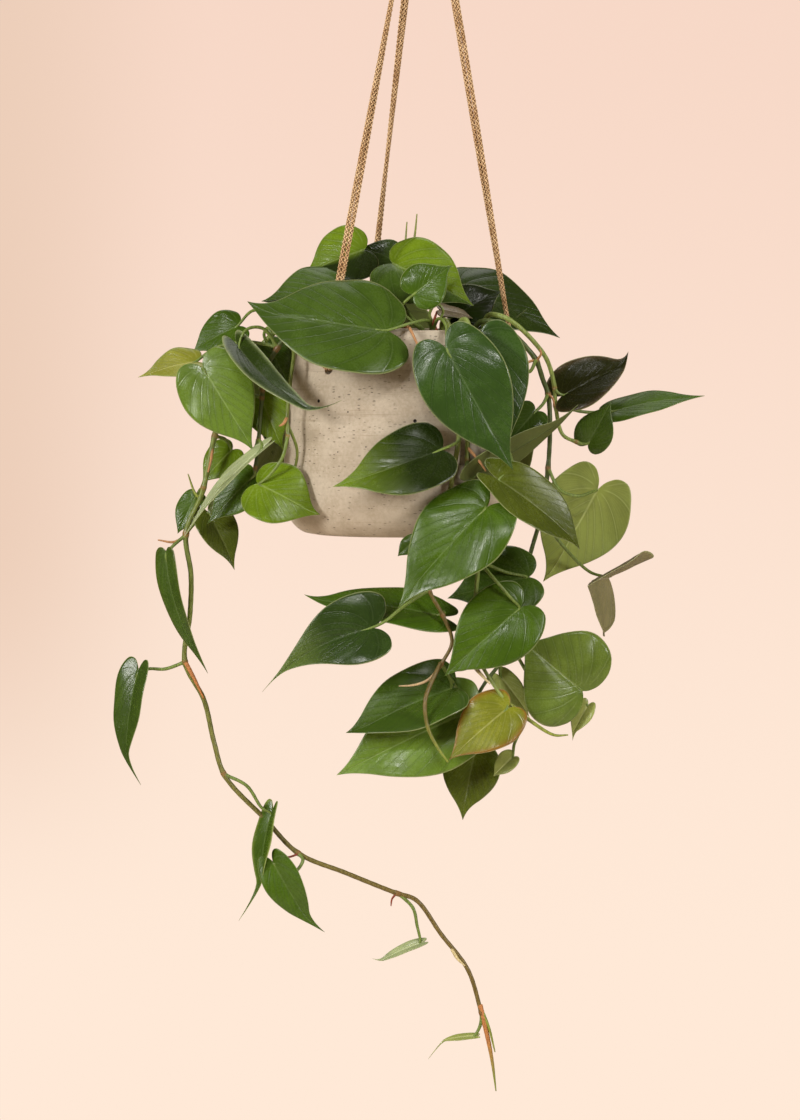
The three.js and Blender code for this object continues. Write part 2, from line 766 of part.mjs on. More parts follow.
        way: [[441, 666, -78], [428, 680, -80], [414, 685, -81], [399, 686, -82]], radius: 1.1,
        tipRadius: 0.4,
      },
      { way: [[454, 464, -80], [440, 478, -86], [427, 490, -88]], radius: 1.2, tipRadius: 0.4 },
    ],
    leaves: [
      {
        base: [447, 452, -93], tip: [342, 485, -98], width: 50, face: [-20, 22], sway: -0.03,
        petiole: [[459, 432, -79], [459, 441, -88]],
      },
      {
        base: [415, 540, -88], tip: [398, 556, -88], width: 13, face: [0, 20],
        petiole: [[419, 531, -82], [418, 536, -86]],
      },
      {
        base: [372, 628, -90], tip: [268, 684, -84], width: 54, face: [-10, 20], fold: 24,
        sway: 0.06, taper: 0.6, petiole: [[429, 590, -78], [404, 606, -86], [384, 622, -90]],
      },
      {
        base: [440, 616, -70], tip: [305, 602, -76], width: 36, face: [0, 46],
        petiole: [[442, 616, -78], [444, 612, -73]],
      },
      {
        base: [453, 688, -66], tip: [349, 736, -78], width: 52, face: [-15, 30], fold: 22,
        lobe: 0.5, petiole: [[441, 664, -78], [448, 674, -72]],
      },
      {
        base: [468, 712, -60], tip: [342, 773, -70], width: 64, face: [-5, 14],
        petiole: [[441, 664, -78], [458, 692, -60]],
      },
    ],
  },
  // Second front stem, beside the first
  vine_middle: {
    root: { x: 44, y: -30 },
    stem: [
      [459, 325, -41], [466, 320, -53], [472, 342, -66], [471, 370, -70], [471, 400, -72],
      [468, 437, -72], [468, 467, -73], [475, 494, -74], [480, 530, -72], [478, 570, -68],
      [474, 615, -66], [473, 645, -68], [485, 671, -74], [507, 704, -72],
    ],
    branches: [
      { way: [[468, 448, -73], [479, 461, -78], [486, 471, -80]], radius: 1.1, tipRadius: 0.5 },
      {
        way: [[507, 702, -72], [532, 722, -76], [554, 735, -78], [568, 735, -78]], radius: 1.4,
        tipRadius: 0.5,
      },
    ],
    leaves: [
      {
        base: [468, 480, -78], tip: [573, 415, -60], width: 27, face: [170, 45], sway: -0.04,
        lobe: 0.5, petiole: [[468, 460, -73], [466, 469, -77]],
      },
      {
        base: [507, 480, -90], tip: [590, 549, -78], width: 38, face: [0, 40], fold: 38,
        petiole: [[471, 402, -72], [494, 428, -72], [509, 452, -76], [512, 467, -85]],
      },
      {
        base: [487, 507, -96], tip: [403, 600, -104], width: 62, face: [-10, 22],
        petiole: [[475, 492, -74], [483, 498, -88]],
      },
      {
        base: [529, 577, -54], tip: [452, 597, -56], width: 50, face: [-5, 22],
        petiole: [[478, 560, -69], [505, 572, -58]],
      },
      {
        base: [521, 607, -78], tip: [448, 672, -86], width: 54, face: [8, 15],
        petiole: [[478, 560, -69], [490, 574, -82], [510, 597, -82]],
      },
      {
        base: [466, 657, -50], tip: [453, 672, -50], width: 14, face: [0, 15],
        petiole: [[473, 642, -68], [471, 650, -56]],
      },
      {
        base: [508, 708, -76], tip: [452, 757, -86], width: 42, face: [-5, 20],
        petiole: [[505, 700, -72], [507, 704, -74]],
      },
      {
        base: [513, 757, -62], tip: [494, 776, -62], width: 16, face: [0, 30], fold: 26,
        petiole: [[506, 702, -72], [522, 722, -64], [514, 745, -61]],
      },
    ],
  },
  // Dark stem at the right, down to the lowest bunch
  vine_right: {
    root: { x: 46, y: -12 },
    stem: [
      [477, 325, -28], [485, 321, -35], [500, 324, -41], [512, 333, -40], [526, 347, -36],
      [536, 360, -34], [543, 380, -30], [548, 394, -28], [550, 425, -28], [548, 468, -28],
      [542, 512, -30], [529, 560, -32], [520, 620, -36], [512, 647, -38], [485, 683, -42],
      [471, 707, -44],
    ],
    leaves: [
      {
        base: [479, 335, -82], tip: [506, 448, -84], width: 56, face: [8, 8], lobe: 0.7,
        petiole: [[536, 360, -34], [528, 372, -56], [508, 362, -72], [488, 344, -77]],
      },
      {
        base: [535, 412, -42], tip: [509, 442, -48], width: 27, face: [0, 15],
        petiole: [[548, 394, -28], [543, 404, -36]],
      },
      {
        base: [598, 489, -12], tip: [549, 577, -16], width: 62, face: [172, 5], lobe: 1.35,
        petiole: [[548, 468, -28], [560, 490, -32], [577, 496, -30], [592, 492, -20]],
      },
      {
        base: [608, 577, -4], tip: [588, 586, -56], width: 82, face: [-70, 22], fold: -35, cup: 0,
        petiole: [[541, 516, -30], [563, 546, -26], [590, 572, -14]],
      },
      {
        base: [582, 691, -36], tip: [524, 643, -44], width: 74, face: [0, 12],
        petiole: [[512, 647, -38], [540, 688, -24], [572, 698, -30]],
      },
      {
        base: [588, 705, -26], tip: [572, 735, -28], width: 16, face: [0, 30], fold: 30,
        petiole: [[550, 693, -26], [575, 702, -25]],
      },
      {
        base: [500, 676, -34], tip: [528, 714, -36], width: 18, face: [10, 20], fold: 24,
        petiole: [[504, 658, -39], [500, 668, -36]],
      },
      {
        base: [475, 752, -46], tip: [462, 814, -50], width: 40, face: [0, 14],
        petiole: [[472, 704, -44], [476, 730, -44]],
      },
    ],
  },
  // Light stem at the right, with the three leaves furthest out
  vine_right_short: {
    root: { x: 54, y: 4 },
    stem: [
      [487, 317, -16], [497, 315, -27], [508, 319, -30], [519, 327, -28], [535, 343, -24],
      [547, 360, -19], [554, 384, -15], [556, 409, -12], [563, 435, -10], [579, 443, -10],
    ],
    leaves: [
      {
        base: [588, 444, -10], tip: [610, 405, -14], width: 27, face: [0, 10],
        petiole: [[576, 442, -10], [583, 444, -10]],
      },
      {
        base: [562, 396, -14], tip: [632, 362, -8], width: 38, face: [0, 25], fold: 26,
        petiole: [[554, 388, -15], [557, 392, -15]],
      },
      {
        base: [612, 412, 4], tip: [697, 398, 6], width: 25, face: [0, 50],
        petiole: [[556, 405, -12], [585, 412, 2]],
      },
    ],
  },
};

for (const [name, vine] of Object.entries(vines)) {
  addPiece(name, toGeometry(vineSolid(vine)), leafGreen);
}

// Stems behind the pot, by one rule with a seeded draw

const BACK_VINES = [
  { name: 'vine_back_right', azimuth: 57, root: { x: 22, y: 34 }, drop: 96, count: 4 },
  { name: 'vine_back_middle', azimuth: 99, root: { x: 2, y: 44 }, drop: 84, count: 4 },
  { name: 'vine_back_left', azimuth: 140, root: { x: -28, y: 34 }, drop: 84, count: 4 },
];
let drawState = 7;

// The next number of an even draw from 0 to 1, alike on every run
function draw() {
  drawState = (drawState * 16807) % 2147483647;
  return drawState / 2147483647;
}

const between = (low, high) => low + (high - low) * draw();

function backVine({ azimuth, root, drop, count }) {
  const out = radial(azimuth);
  const across = tangential(azimuth);
  const at = (distance, aside, z) => out.clone().multiplyScalar(distance)
    .addScaledVector(across, aside).add(new THREE.Vector3(POT_X, 0, z));
  const route = [
    ...standing(root), at(56, 0, RIM_Z + 4), at(68, 0, RIM_Z + 7), at(78, 1, RIM_Z),
    at(84, 0, RIM_Z - 22),
  ];
  const stemSteps = Math.round(drop / 30);
  for (let i = 1; i <= stemSteps; i += 1) {
    route.push(at(88 + between(-1, 2), between(-4, 4), RIM_Z - 22 - (drop - 22) * i / stemSteps));
  }
  const stem = new SteppedCurve(route);
  const solids = [limb({ route, radius: STEM_RADIUS, tipRadius: 1.2 })];
  for (let i = 0; i < count; i += 1) {
    const share = 0.5 + 0.48 * (i / (count - 1));
    const node = stem.getPoint(share);
    const side = i % 2 ? 1 : -1;
    const length = between(52, 74) * (1 - 0.12 * i / count);
    const joint = node.clone()
      .addScaledVector(out, between(14, 20))
      .addScaledVector(across, side * between(8, 14));
    joint.z += between(2, 8);
    const tip = joint.clone().addScaledVector(out, between(2, 12))
      .addScaledVector(across, side * between(4, 16));
    tip.z -= length;
    const bend = node.clone().lerp(joint, 0.55);
    bend.z += 5;
    const look = azimuth + 90 + side * between(0, 20);
    solids.push(...leafSolids({
      base: joint,
      tip,
      width: length * between(0.74, 0.86),
      face: [look, between(15, 35)],
      petiole: [node, bend],
    }, i));
  }
  return join(solids);
}

for (const vine of BACK_VINES) {
  addPiece(vine.name, toGeometry(backVine(vine)), leafGreen);
}

// Soil: fills the pot below the cord holes, with a plain hole where each stem stands

const soilEdge = SOIL_BELOW_RIM;
const soilDepths = [POT_HEIGHT - POT_FLOOR - TOUCH_GAP, 124, 94, 62, 38, soilEdge];
const soilRadius = (below) => potRadius(below) - POT_WALL - 1;
const soilBody = lathe([
  [0, -soilDepths[0]],
  [POT_FOOT_RADIUS - 6, -soilDepths[0]],
  ...soilDepths.slice(1).map((below) => [soilRadius(below), -below]),
  [40, -soilEdge + SOIL_CROWN * 0.7],
  [0, -soilEdge + SOIL_CROWN],
], 24);
soilBody.translate(POT_X, 0, RIM_Z);

function stemHole({ x, y }) {
  const reach = STEM_RADIUS + STEM_HOLE_GAP;
  const hole = new THREE.CylinderGeometry(reach, reach, STEM_HOLE_DEPTH + 10, 8);
  hole.rotateX(Math.PI / 2);
  hole.translate(POT_X + x, y, soilTop - STEM_HOLE_DEPTH / 2 + 5);
  return toSolid(hole);
}

const roots = [...Object.values(vines), ...BACK_VINES].map(({ root }) => root);
addPiece('potting_soil', toGeometry(cut(toSolid(soilBody), roots.map(stemHole))), soilBrown);

export default group;
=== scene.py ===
# %% [markdown]
# # A heartleaf philodendron in a hanging stoneware pot
# This lesson builds one plant in its pot, as a set of closed meshes that stand where the
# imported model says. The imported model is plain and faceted: it has the right sizes, and it is
# what the physics uses. Here each of its nodes gets a finer piece with the same form, and a
# material made from nodes. All sizes are written in millimetres and become metres when a
# mesh is made.

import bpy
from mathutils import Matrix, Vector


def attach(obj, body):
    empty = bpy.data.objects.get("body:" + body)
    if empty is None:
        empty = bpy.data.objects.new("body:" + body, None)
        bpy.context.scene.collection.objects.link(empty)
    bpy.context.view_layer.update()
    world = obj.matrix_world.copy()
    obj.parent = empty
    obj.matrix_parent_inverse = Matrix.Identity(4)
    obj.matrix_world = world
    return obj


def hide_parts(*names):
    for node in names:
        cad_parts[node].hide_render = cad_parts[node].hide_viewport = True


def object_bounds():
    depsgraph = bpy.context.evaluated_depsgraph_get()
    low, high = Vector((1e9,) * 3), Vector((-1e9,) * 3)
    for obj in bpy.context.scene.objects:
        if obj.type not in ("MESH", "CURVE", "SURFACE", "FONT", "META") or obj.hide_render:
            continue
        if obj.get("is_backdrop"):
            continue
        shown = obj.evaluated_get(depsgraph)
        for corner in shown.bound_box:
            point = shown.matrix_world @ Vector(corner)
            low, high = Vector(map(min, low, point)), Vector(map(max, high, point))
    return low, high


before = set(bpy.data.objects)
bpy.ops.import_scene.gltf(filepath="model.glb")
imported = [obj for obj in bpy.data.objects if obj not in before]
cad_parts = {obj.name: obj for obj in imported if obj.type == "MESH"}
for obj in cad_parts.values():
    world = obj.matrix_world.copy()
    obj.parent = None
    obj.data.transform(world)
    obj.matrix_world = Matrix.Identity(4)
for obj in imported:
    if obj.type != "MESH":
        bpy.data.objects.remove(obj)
cad_box = [list(corner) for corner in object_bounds()]
print("nodes:", len(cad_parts), "box:", [[round(v, 3) for v in c] for c in cad_box])

# %% Modules and a few words used all over
import math

import bmesh
import bpy
import numpy as np
from mathutils import Matrix, Vector, noise as lattice

MM = 0.001
radians = math.radians


def srgb(red, green, blue):
    """A colour as seen on a screen, 0 to 255, in the linear values that shaders use."""
    parts = []
    for value in (red, green, blue):
        value /= 255
        parts.append(value / 12.92 if value <= 0.04045 else ((value + 0.055) / 1.055) ** 2.4)
    return (*parts, 1.0)


def in_scene(name, data):
    """A new object with this data, in the scene and at its origin."""
    made = bpy.data.objects.new(name, data)
    bpy.context.scene.collection.objects.link(made)
    return made


print("one millimetre is", MM, "of a scene unit")

# %% [markdown]
# ## The camera
# The photograph looks almost level at the plant from far away with a long lens. One step in
# the picture is 0.7 mm at the middle of the plant, and the picture is 800 steps wide and 1120
# high. `seen` turns a place in the picture and a depth into a point in space, and every stem
# and leaf below is placed with it, so the camera comes first. The lens follows from the
# height of the picture at the plant: 784 mm at 4 m.

# %% Picture frame and camera
PICTURE_SCALE = 0.7
PICTURE_MIDDLE = (400, 560)
HANGING_POINT = (424, -235)
EYE_DISTANCE = 4000
EYE_ELEVATION = radians(2.9)
PICTURE_HEIGHT = 1120

target = np.array([
    (PICTURE_MIDDLE[0] - HANGING_POINT[0]) * PICTURE_SCALE,
    0.0,
    (HANGING_POINT[1] - PICTURE_MIDDLE[1]) * PICTURE_SCALE,
])
forward = np.array([0.0, math.cos(EYE_ELEVATION), -math.sin(EYE_ELEVATION)])
upward = np.array([0.0, math.sin(EYE_ELEVATION), math.cos(EYE_ELEVATION)])
eye = target - forward * EYE_DISTANCE


def seen(place):
    """The point at a depth that the camera sees at a place in the picture, in millimetres."""
    across, down, depth = place
    ray = forward * EYE_DISTANCE
    ray = ray + np.array([(across - PICTURE_MIDDLE[0]) * PICTURE_SCALE, 0, 0])
    ray = ray + upward * (PICTURE_MIDDLE[1] - down) * PICTURE_SCALE
    return eye + ray * (depth - eye[1]) / ray[1]


camera_data = bpy.data.cameras.new("camera")
camera_data.sensor_width = 36
camera_data.lens = 36 * EYE_DISTANCE / (PICTURE_HEIGHT * PICTURE_SCALE)
camera_data.clip_end = 100
camera = in_scene("camera", camera_data)
camera.location = Vector(eye * MM)
camera.rotation_euler = Vector(forward).to_track_quat("-Z", "Y").to_euler()
bpy.context.scene.camera = camera
print("lens", round(camera_data.lens, 2), "mm, eye at", [round(v) for v in eye])

# %% [markdown]
# ## Lines, tubes and meshes
# Cords, stems and petioles are all round and follow a line, so they share two helpers. The
# line is a Catmull-Rom curve: it passes through each given point, which makes it easy to lay
# it over the photograph. The tube carries its ring of points along the line without twist,
# by turning the last ring's direction only as much as the line turns.

# %% A smooth line through points
def between_points(start, end, out, into, t):
    """Places on the cubic that leaves the start by one way and comes into the end by another."""
    square = -3 * start + 3 * end - 2 * out - into
    cube = 2 * start - 2 * end + out + into
    return start + out * t + square * t * t + cube * t ** 3


def along_curve(points, shares):
    """Places on a centripetal Catmull-Rom curve. A share of 0 is the first point, 1 the last."""
    points = np.asarray(points, float)
    last = len(points) - 1
    ahead = np.vstack([2 * points[0] - points[1], points, 2 * points[-1] - points[-2]])
    place = np.clip(np.asarray(shares, float) * last, 0, last)
    step = np.minimum(place.astype(int), last - 1)
    w = (place - step)[:, None]
    p0, p1, p2, p3 = (ahead[step + k] for k in range(4))
    d0, d1, d2 = (
        np.sqrt(np.linalg.norm(b - a, axis=1))[:, None]
        for a, b in ((p0, p1), (p1, p2), (p2, p3))
    )
    d1 = np.where(d1 < 1e-4, 1.0, d1)
    d0 = np.where(d0 < 1e-4, d1, d0)
    d2 = np.where(d2 < 1e-4, d1, d2)
    out = ((p1 - p0) / d0 - (p2 - p0) / (d0 + d1) + (p2 - p1) / d1) * d1
    into = ((p2 - p1) / d1 - (p3 - p1) / (d1 + d2) + (p3 - p2) / d2) * d1
    return between_points(p1, p2, out, into, w)


def even_line(points, step):
    """The smooth line through points, as places about one step apart."""
    fine = along_curve(points, np.linspace(0, 1, 24 * len(points)))
    run = np.concatenate([[0], np.cumsum(np.linalg.norm(np.diff(fine, axis=0), axis=1))])
    count = max(int(round(run[-1] / step)), 3)
    wanted = np.linspace(0, run[-1], count + 1)
    return np.column_stack([np.interp(wanted, run, fine[:, k]) for k in range(3)])


def line_length(points):
    return float(np.linalg.norm(np.diff(points, axis=0), axis=1).sum())


trial = even_line([(0, 0, 0), (10, 0, 0), (10, 10, 0)], 1)
print("a bent line of", len(trial), "places is", round(line_length(trial), 1), "mm long")

# %% A tube along a line
def unit(vector):
    return vector / np.linalg.norm(vector)


def tube(line, radii, sides=10):
    """Points and faces of a closed tube, with a small dome at each end."""
    line = np.asarray(line, float)
    radii = np.broadcast_to(np.asarray(radii, float), (len(line),))
    heading = np.gradient(line, axis=0)
    heading /= np.linalg.norm(heading, axis=1)[:, None]
    start = np.cross(heading[0], (0, 0, 1) if abs(heading[0][2]) < 0.9 else (1, 0, 0))
    normal = unit(start)
    angles = 2 * math.pi * np.arange(sides) / sides
    rings = []
    for place, way, radius in zip(line, heading, radii):
        normal = unit(normal - way * normal.dot(way))
        side = np.cross(way, normal)
        ring = np.outer(np.cos(angles), normal) + np.outer(np.sin(angles), side)
        rings.append(place + ring * radius)
    points = np.vstack([*rings, line[0] - heading[0] * radii[0] * 0.5,
                        line[-1] + heading[-1] * radii[-1] * 0.5])
    faces = []
    first, last = len(points) - 2, len(points) - 1
    top = (len(line) - 1) * sides
    for k in range(sides):
        n = (k + 1) % sides
        faces.append((first, n, k))
        faces.append((last, top + k, top + n))
        for i in range(0, top, sides):
            faces.append((i + k, i + n, i + sides + n, i + sides + k))
    return points, faces


trial_points, trial_faces = tube(trial, 2.0)
print("its tube has", len(trial_points), "points and", len(trial_faces), "faces")

# %% From points to an object
def mesh_object(name, points, faces, smooth=True):
    """A mesh object at the origin, from points in millimetres."""
    mesh = bpy.data.meshes.new(name)
    mesh.from_pydata((np.asarray(points) * MM).tolist(), [], faces)
    mesh.update()
    mesh.shade_smooth() if smooth else mesh.shade_flat()
    return in_scene(name, mesh)


def dressed(made, *skins):
    """The object with its materials."""
    for skin in skins:
        made.data.materials.append(skin)
    return made


def triangle_count(made):
    made.data.calc_loop_triangles()
    return len(made.data.loop_triangles)


def finished(made, slot, *nodes):
    """The piece rides on the one body and stands for its nodes."""
    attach(made, "root")
    if nodes:
        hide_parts(*nodes)
    print(made.name, "has", triangle_count(made), "triangles")
    return made


print("helpers are ready")

# %% [markdown]
# ## The three doubled cords
# Each leg of the hanger is one cord folded in two. Both runs come down from the wrap, make
# half a turn round each other, bend over the edge of a hole in the pot's wall and pass
# through a knot inside. The cord is 3.2 mm thick. The route is worked out from the sizes of
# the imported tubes, because a cord has to lie where they are. Only the two runs of a cord lie
# 0.4 mm closer here, so that their braids touch as they do in the photograph.

# %% Sizes of the pot and the hanger, in millimetres
POT_X = -16
RIM_Z = -396
POT_HEIGHT = 142
POT_WALL = 6.5
POT_FLOOR = 8
POT_FOOT_RADIUS = 60
SOIL_BELOW_RIM = 35
SOIL_CROWN = 3
CORD_DIAMETER = 3.2
CORD_PITCH = 3.1
CORD_BEND = 3.6
HOLE_BELOW_RIM = 26
HOLE_RADIUS = 3.7
HOLE_LIFT = 0.7
CORD_AZIMUTHS = {"right": -11, "back": 109, "left": 229}
KNOT_RADIUS = 6.6
KNOT_LENGTH = 8
KNOT_LOOP = [(5, 3.2), (9, 3.6), (12, 0), (9, -3.6), (5, -3.2)]
RING_INNER_RADIUS = 14
RING_WIRE = 4
WRAP_RADIUS = 8.6
WRAP_TOP_Z = -37
WRAP_HEIGHT = 20
BUNDLE_RADIUS = 4.4
LEG_TWIST = math.pi
LEG_STEPS = 8
TOUCH_GAP = 0.3
STRAIGHT_ABOVE_BEND = 2
POT_PROFILE = [
    (70, 0), (74.4, -18), (78.1, -38), (80.5, -62), (81.9, -94), (82.2, -112),
    (80.6, -124), (76, -134), (69, -140), (POT_FOOT_RADIUS, -POT_HEIGHT),
]


def pot_radius(below):
    """The outer radius of the pot at a height below its rim."""
    depths = [-z for _, z in POT_PROFILE]
    return float(np.interp(below, depths, [r for r, _ in POT_PROFILE]))


print("the pot is", 2 * max(r for r, _ in POT_PROFILE), "mm across")

# %% The route of one doubled cord
def radial(azimuth):
    return np.array([math.cos(radians(azimuth)), math.sin(radians(azimuth)), 0.0])


POT_AXIS = np.array([POT_X, 0.0, 0.0])
OUTER_RUN = pot_radius(HOLE_BELOW_RIM) + TOUCH_GAP + CORD_BEND
INNER_FACE = pot_radius(HOLE_BELOW_RIM) - POT_WALL
CORD_LEVEL = RIM_Z - HOLE_BELOW_RIM + HOLE_LIFT
UP = np.array([0.0, 0.0, 1.0])


def leg_run(azimuth, side):
    """One run from the wrap to its bend over the hole."""
    out, across = radial(azimuth), radial(azimuth + 90)
    top = out * BUNDLE_RADIUS * math.cos(math.pi / 6)
    top = top + UP * (WRAP_TOP_Z - WRAP_HEIGHT - 3 * TOUCH_GAP)
    bottom = out * OUTER_RUN + POT_AXIS + UP * (CORD_LEVEL + CORD_BEND + STRAIGHT_ABOVE_BEND)
    normal = unit(np.cross(across, unit(bottom - top)))
    places = []
    for i in range(LEG_STEPS + 1):
        t = i / LEG_STEPS
        turn = LEG_TWIST * (1 - t)
        aside = across * math.cos(turn) + normal * math.sin(turn)
        places.append(top + (bottom - top) * t + aside * side * CORD_PITCH / 2)
    return places


def leg_entry(azimuth, side):
    """The bend over the hole's edge, and the way through the wall and the knot."""
    out, across = radial(azimuth), radial(azimuth + 90)

    def place(distance, height):
        return out * distance + across * side * CORD_PITCH / 2 + POT_AXIS + UP * height

    places = [
        place(OUTER_RUN - CORD_BEND + CORD_BEND * math.cos(radians(degrees)),
              CORD_LEVEL + CORD_BEND - CORD_BEND * math.sin(radians(degrees)))
        for degrees in (20, 55, 90)
    ]
    places.append(place(INNER_FACE, CORD_LEVEL))
    places.append(place(INNER_FACE - KNOT_LENGTH - 1, CORD_LEVEL))
    return places


def leg_route(azimuth):
    """Down one run, round the loop behind the knot, and up the other run."""
    out, across = radial(azimuth), radial(azimuth + 90)
    loop = [out * (INNER_FACE - KNOT_LENGTH - past) + across * aside + POT_AXIS + UP * CORD_LEVEL
            for past, aside in KNOT_LOOP]
    down = leg_run(azimuth, 1) + leg_entry(azimuth, 1)
    back_up = (leg_run(azimuth, -1) + leg_entry(azimuth, -1))[::-1]
    return even_line(down + loop + back_up, 1.0)


cord_lines = {side: leg_route(azimuth) for side, azimuth in CORD_AZIMUTHS.items()}
for side, line in cord_lines.items():
    print("cord", side, "is", round(line_length(line)), "mm long")

# %% [markdown]
# ## A braid that follows a line
# The cord is a round braid: three strands wind one way round its core and three the other
# way, and where two meet, one passes over the other. Geometry Nodes suit this, because one
# tree can dress any line. It copies the line once for each strand, moves each copy's points
# round a circle as they go along, lets them rise and dip where strands cross, and sweeps a
# small circle along each. The result is made a plain mesh, and the modifier is removed.

# %% Helpers for node trees
def node_group(name, kind, inputs, outputs):
    """A new group with its named inputs and outputs, and the plugs inside for both."""
    tree = bpy.data.node_groups.new(name, kind)
    for way, rows in (("INPUT", inputs), ("OUTPUT", outputs)):
        for label, socket, *value in rows:
            made = tree.interface.new_socket(name=label, in_out=way,
                                             socket_type="NodeSocket" + socket)
            if value:
                made.default_value = value[0]
    return (tree, tree.nodes.new("NodeGroupInput").outputs,
            tree.nodes.new("NodeGroupOutput").inputs)


def geometry_tree(name, inputs):
    """An empty Geometry Nodes tree that also passes a Skin and the Geometry itself."""
    body = ("Geometry", "Geometry")
    return node_group(name, "GeometryNodeTree", [body, *inputs, ("Skin", "Material")], [body])


def yielding(tree, result, *values):
    """The group, once these values leave it by its outputs."""
    for plug, value in zip(result, values):
        tree.links.new(value, plug)
    return tree


def put(tree, plug, value):
    """Links the plug to a socket, or gives it a value of its own."""
    if isinstance(value, bpy.types.NodeSocket):
        tree.links.new(value, plug)
    else:
        plug.default_value = value


def wire(tree, node, **inputs):
    """Fills a node's inputs by name. A double underscore in a name is a space."""
    for label, value in inputs.items():
        put(tree, node.inputs[label.replace("__", " ")], value)
    return node


def added(tree, kind, **inputs):
    """A new node whose inputs are filled by name."""
    return wire(tree, tree.nodes.new(kind), **inputs)


def reckoned(tree, kind, operation, plugs, values):
    """The result of a node that reckons with its first inputs, or with the plugs named."""
    node = tree.nodes.new(kind)
    node.operation = operation
    for plug, value in zip(plugs or range(len(values)), values):
        put(tree, node.inputs[plug], value)
    return node.outputs[0]


def maths(tree, operation, *values):
    return reckoned(tree, "ShaderNodeMath", operation, None, values)


def vectors(tree, operation, *values):
    plugs = (0, "Scale") if operation == "SCALE" else None
    return reckoned(tree, "ShaderNodeVectorMath", operation, plugs, values)


def times(tree, first, second):
    return maths(tree, "MULTIPLY", first, second)


def swept(tree, curve, radius, resolution):
    """A curve thickened to a closed round tube."""
    circle = added(tree, "GeometryNodeCurvePrimitiveCircle", Resolution=resolution, Radius=radius)
    return added(tree, "GeometryNodeCurveToMesh", Curve=curve,
                 Profile__Curve=circle.outputs[0], Fill__Caps=True).outputs[0]


def together(tree, *shapes):
    node = tree.nodes.new("GeometryNodeJoinGeometry")
    for shape in shapes:
        tree.links.new(shape, node.inputs[0])
    return node.outputs[0]


def realised(tree, shape):
    return added(tree, "GeometryNodeRealizeInstances", Geometry=shape).outputs[0]


def skinned(tree, shape, skin):
    return added(tree, "GeometryNodeSetMaterial", Geometry=shape, Material=skin).outputs[0]


def with_modifiers(source):
    """The mesh that an object has once its modifiers have run."""
    bpy.context.view_layer.update()
    shown = source.evaluated_get(bpy.context.evaluated_depsgraph_get())
    return bpy.data.meshes.new_from_object(shown)


def grown(name, source, tree, **values):
    """The plain mesh that a tree makes from an object, which is then removed."""
    modifier = source.modifiers.new("tree", "NODES")
    modifier.node_group = tree
    sockets = {item.name: item.identifier for item in tree.interface.items_tree
               if item.item_type == "SOCKET" and item.in_out == "INPUT"}
    for label, value in values.items():
        modifier[sockets[label.replace("__", " ")]] = value
    mesh = with_modifiers(source)
    mesh.name = name
    source.modifiers.remove(modifier)
    bpy.data.objects.remove(source)
    mesh.shade_smooth()
    return in_scene(name, mesh)


def line_object(name, line):
    """A curve object of straight steps along a line, as the source for a tree."""
    curve = bpy.data.curves.new(name, "CURVE")
    curve.dimensions = "3D"
    run = curve.splines.new("POLY")
    run.points.add(len(line) - 1)
    places = np.column_stack([np.asarray(line) * MM, np.ones(len(line))])
    run.points.foreach_set("co", places.ravel())
    return in_scene(name, curve)


print("node helpers are ready")

# %% The braid tree
def braid_tree():
    tree, given, result = geometry_tree("round braid", [
        ("Strands Each Way", "Int", 3), ("Pitch", "Float", 0.0105),
        ("Braid Radius", "Float", 0.001), ("Strand Radius", "Float", 0.00052),
        ("Crossing Rise", "Float", 0.00022),
    ])

    def with_rise(line, rise):
        """The line with how high its points ride, kept for the material."""
        kept = tree.nodes.new("GeometryNodeStoreNamedAttribute")
        kept.data_type, kept.domain = "FLOAT", "POINT"
        return wire(tree, kept, Geometry=line, Name="rise", Value=rise).outputs[0]

    each_way = given["Strands Each Way"]
    copies = tree.nodes.new("GeometryNodeDuplicateElements")
    copies.domain = "SPLINE"
    wire(tree, copies, Geometry=given["Geometry"], Amount=times(tree, each_way, 2))
    number = copies.outputs["Duplicate Index"]
    other_way = maths(tree, "FLOORED_MODULO", number, 2)
    way = maths(tree, "SUBTRACT", times(tree, other_way, 2), 1)
    start = maths(tree, "DIVIDE", maths(tree, "FLOOR", maths(tree, "DIVIDE", number, 2)), each_way)
    run = tree.nodes.new("GeometryNodeSplineParameter").outputs["Length"]
    turns = times(tree, maths(tree, "DIVIDE", run, given["Pitch"]), way)
    angle = times(tree, maths(tree, "ADD", turns, start), 2 * math.pi)
    rise = times(tree, maths(tree, "COSINE", times(tree, angle, each_way)), way)
    reach = maths(tree, "MULTIPLY_ADD", rise, given["Crossing Rise"], given["Braid Radius"])
    normal = tree.nodes.new("GeometryNodeInputNormal").outputs[0]
    heading = tree.nodes.new("GeometryNodeInputTangent").outputs[0]
    aside = vectors(tree, "CROSS_PRODUCT", heading, normal)
    out = vectors(tree, "ADD", vectors(tree, "SCALE", normal, maths(tree, "COSINE", angle)),
                  vectors(tree, "SCALE", aside, maths(tree, "SINE", angle)))
    wound = added(tree, "GeometryNodeSetPosition",
                  Geometry=with_rise(copies.outputs["Geometry"], rise),
                  Offset=vectors(tree, "SCALE", out, reach)).outputs[0]
    strands = swept(tree, wound, given["Strand Radius"], 5)
    # The core is stored as lying lowest, so the cord's material gives it the full painted shade.
    core = swept(tree, with_rise(given["Geometry"], -1.0), given["Braid Radius"], 8)
    cord = realised(tree, together(tree, strands, core))
    return yielding(tree, result, skinned(tree, cord, given["Skin"]))


braid = braid_tree()
print("the braid tree has", len(braid.nodes), "nodes")
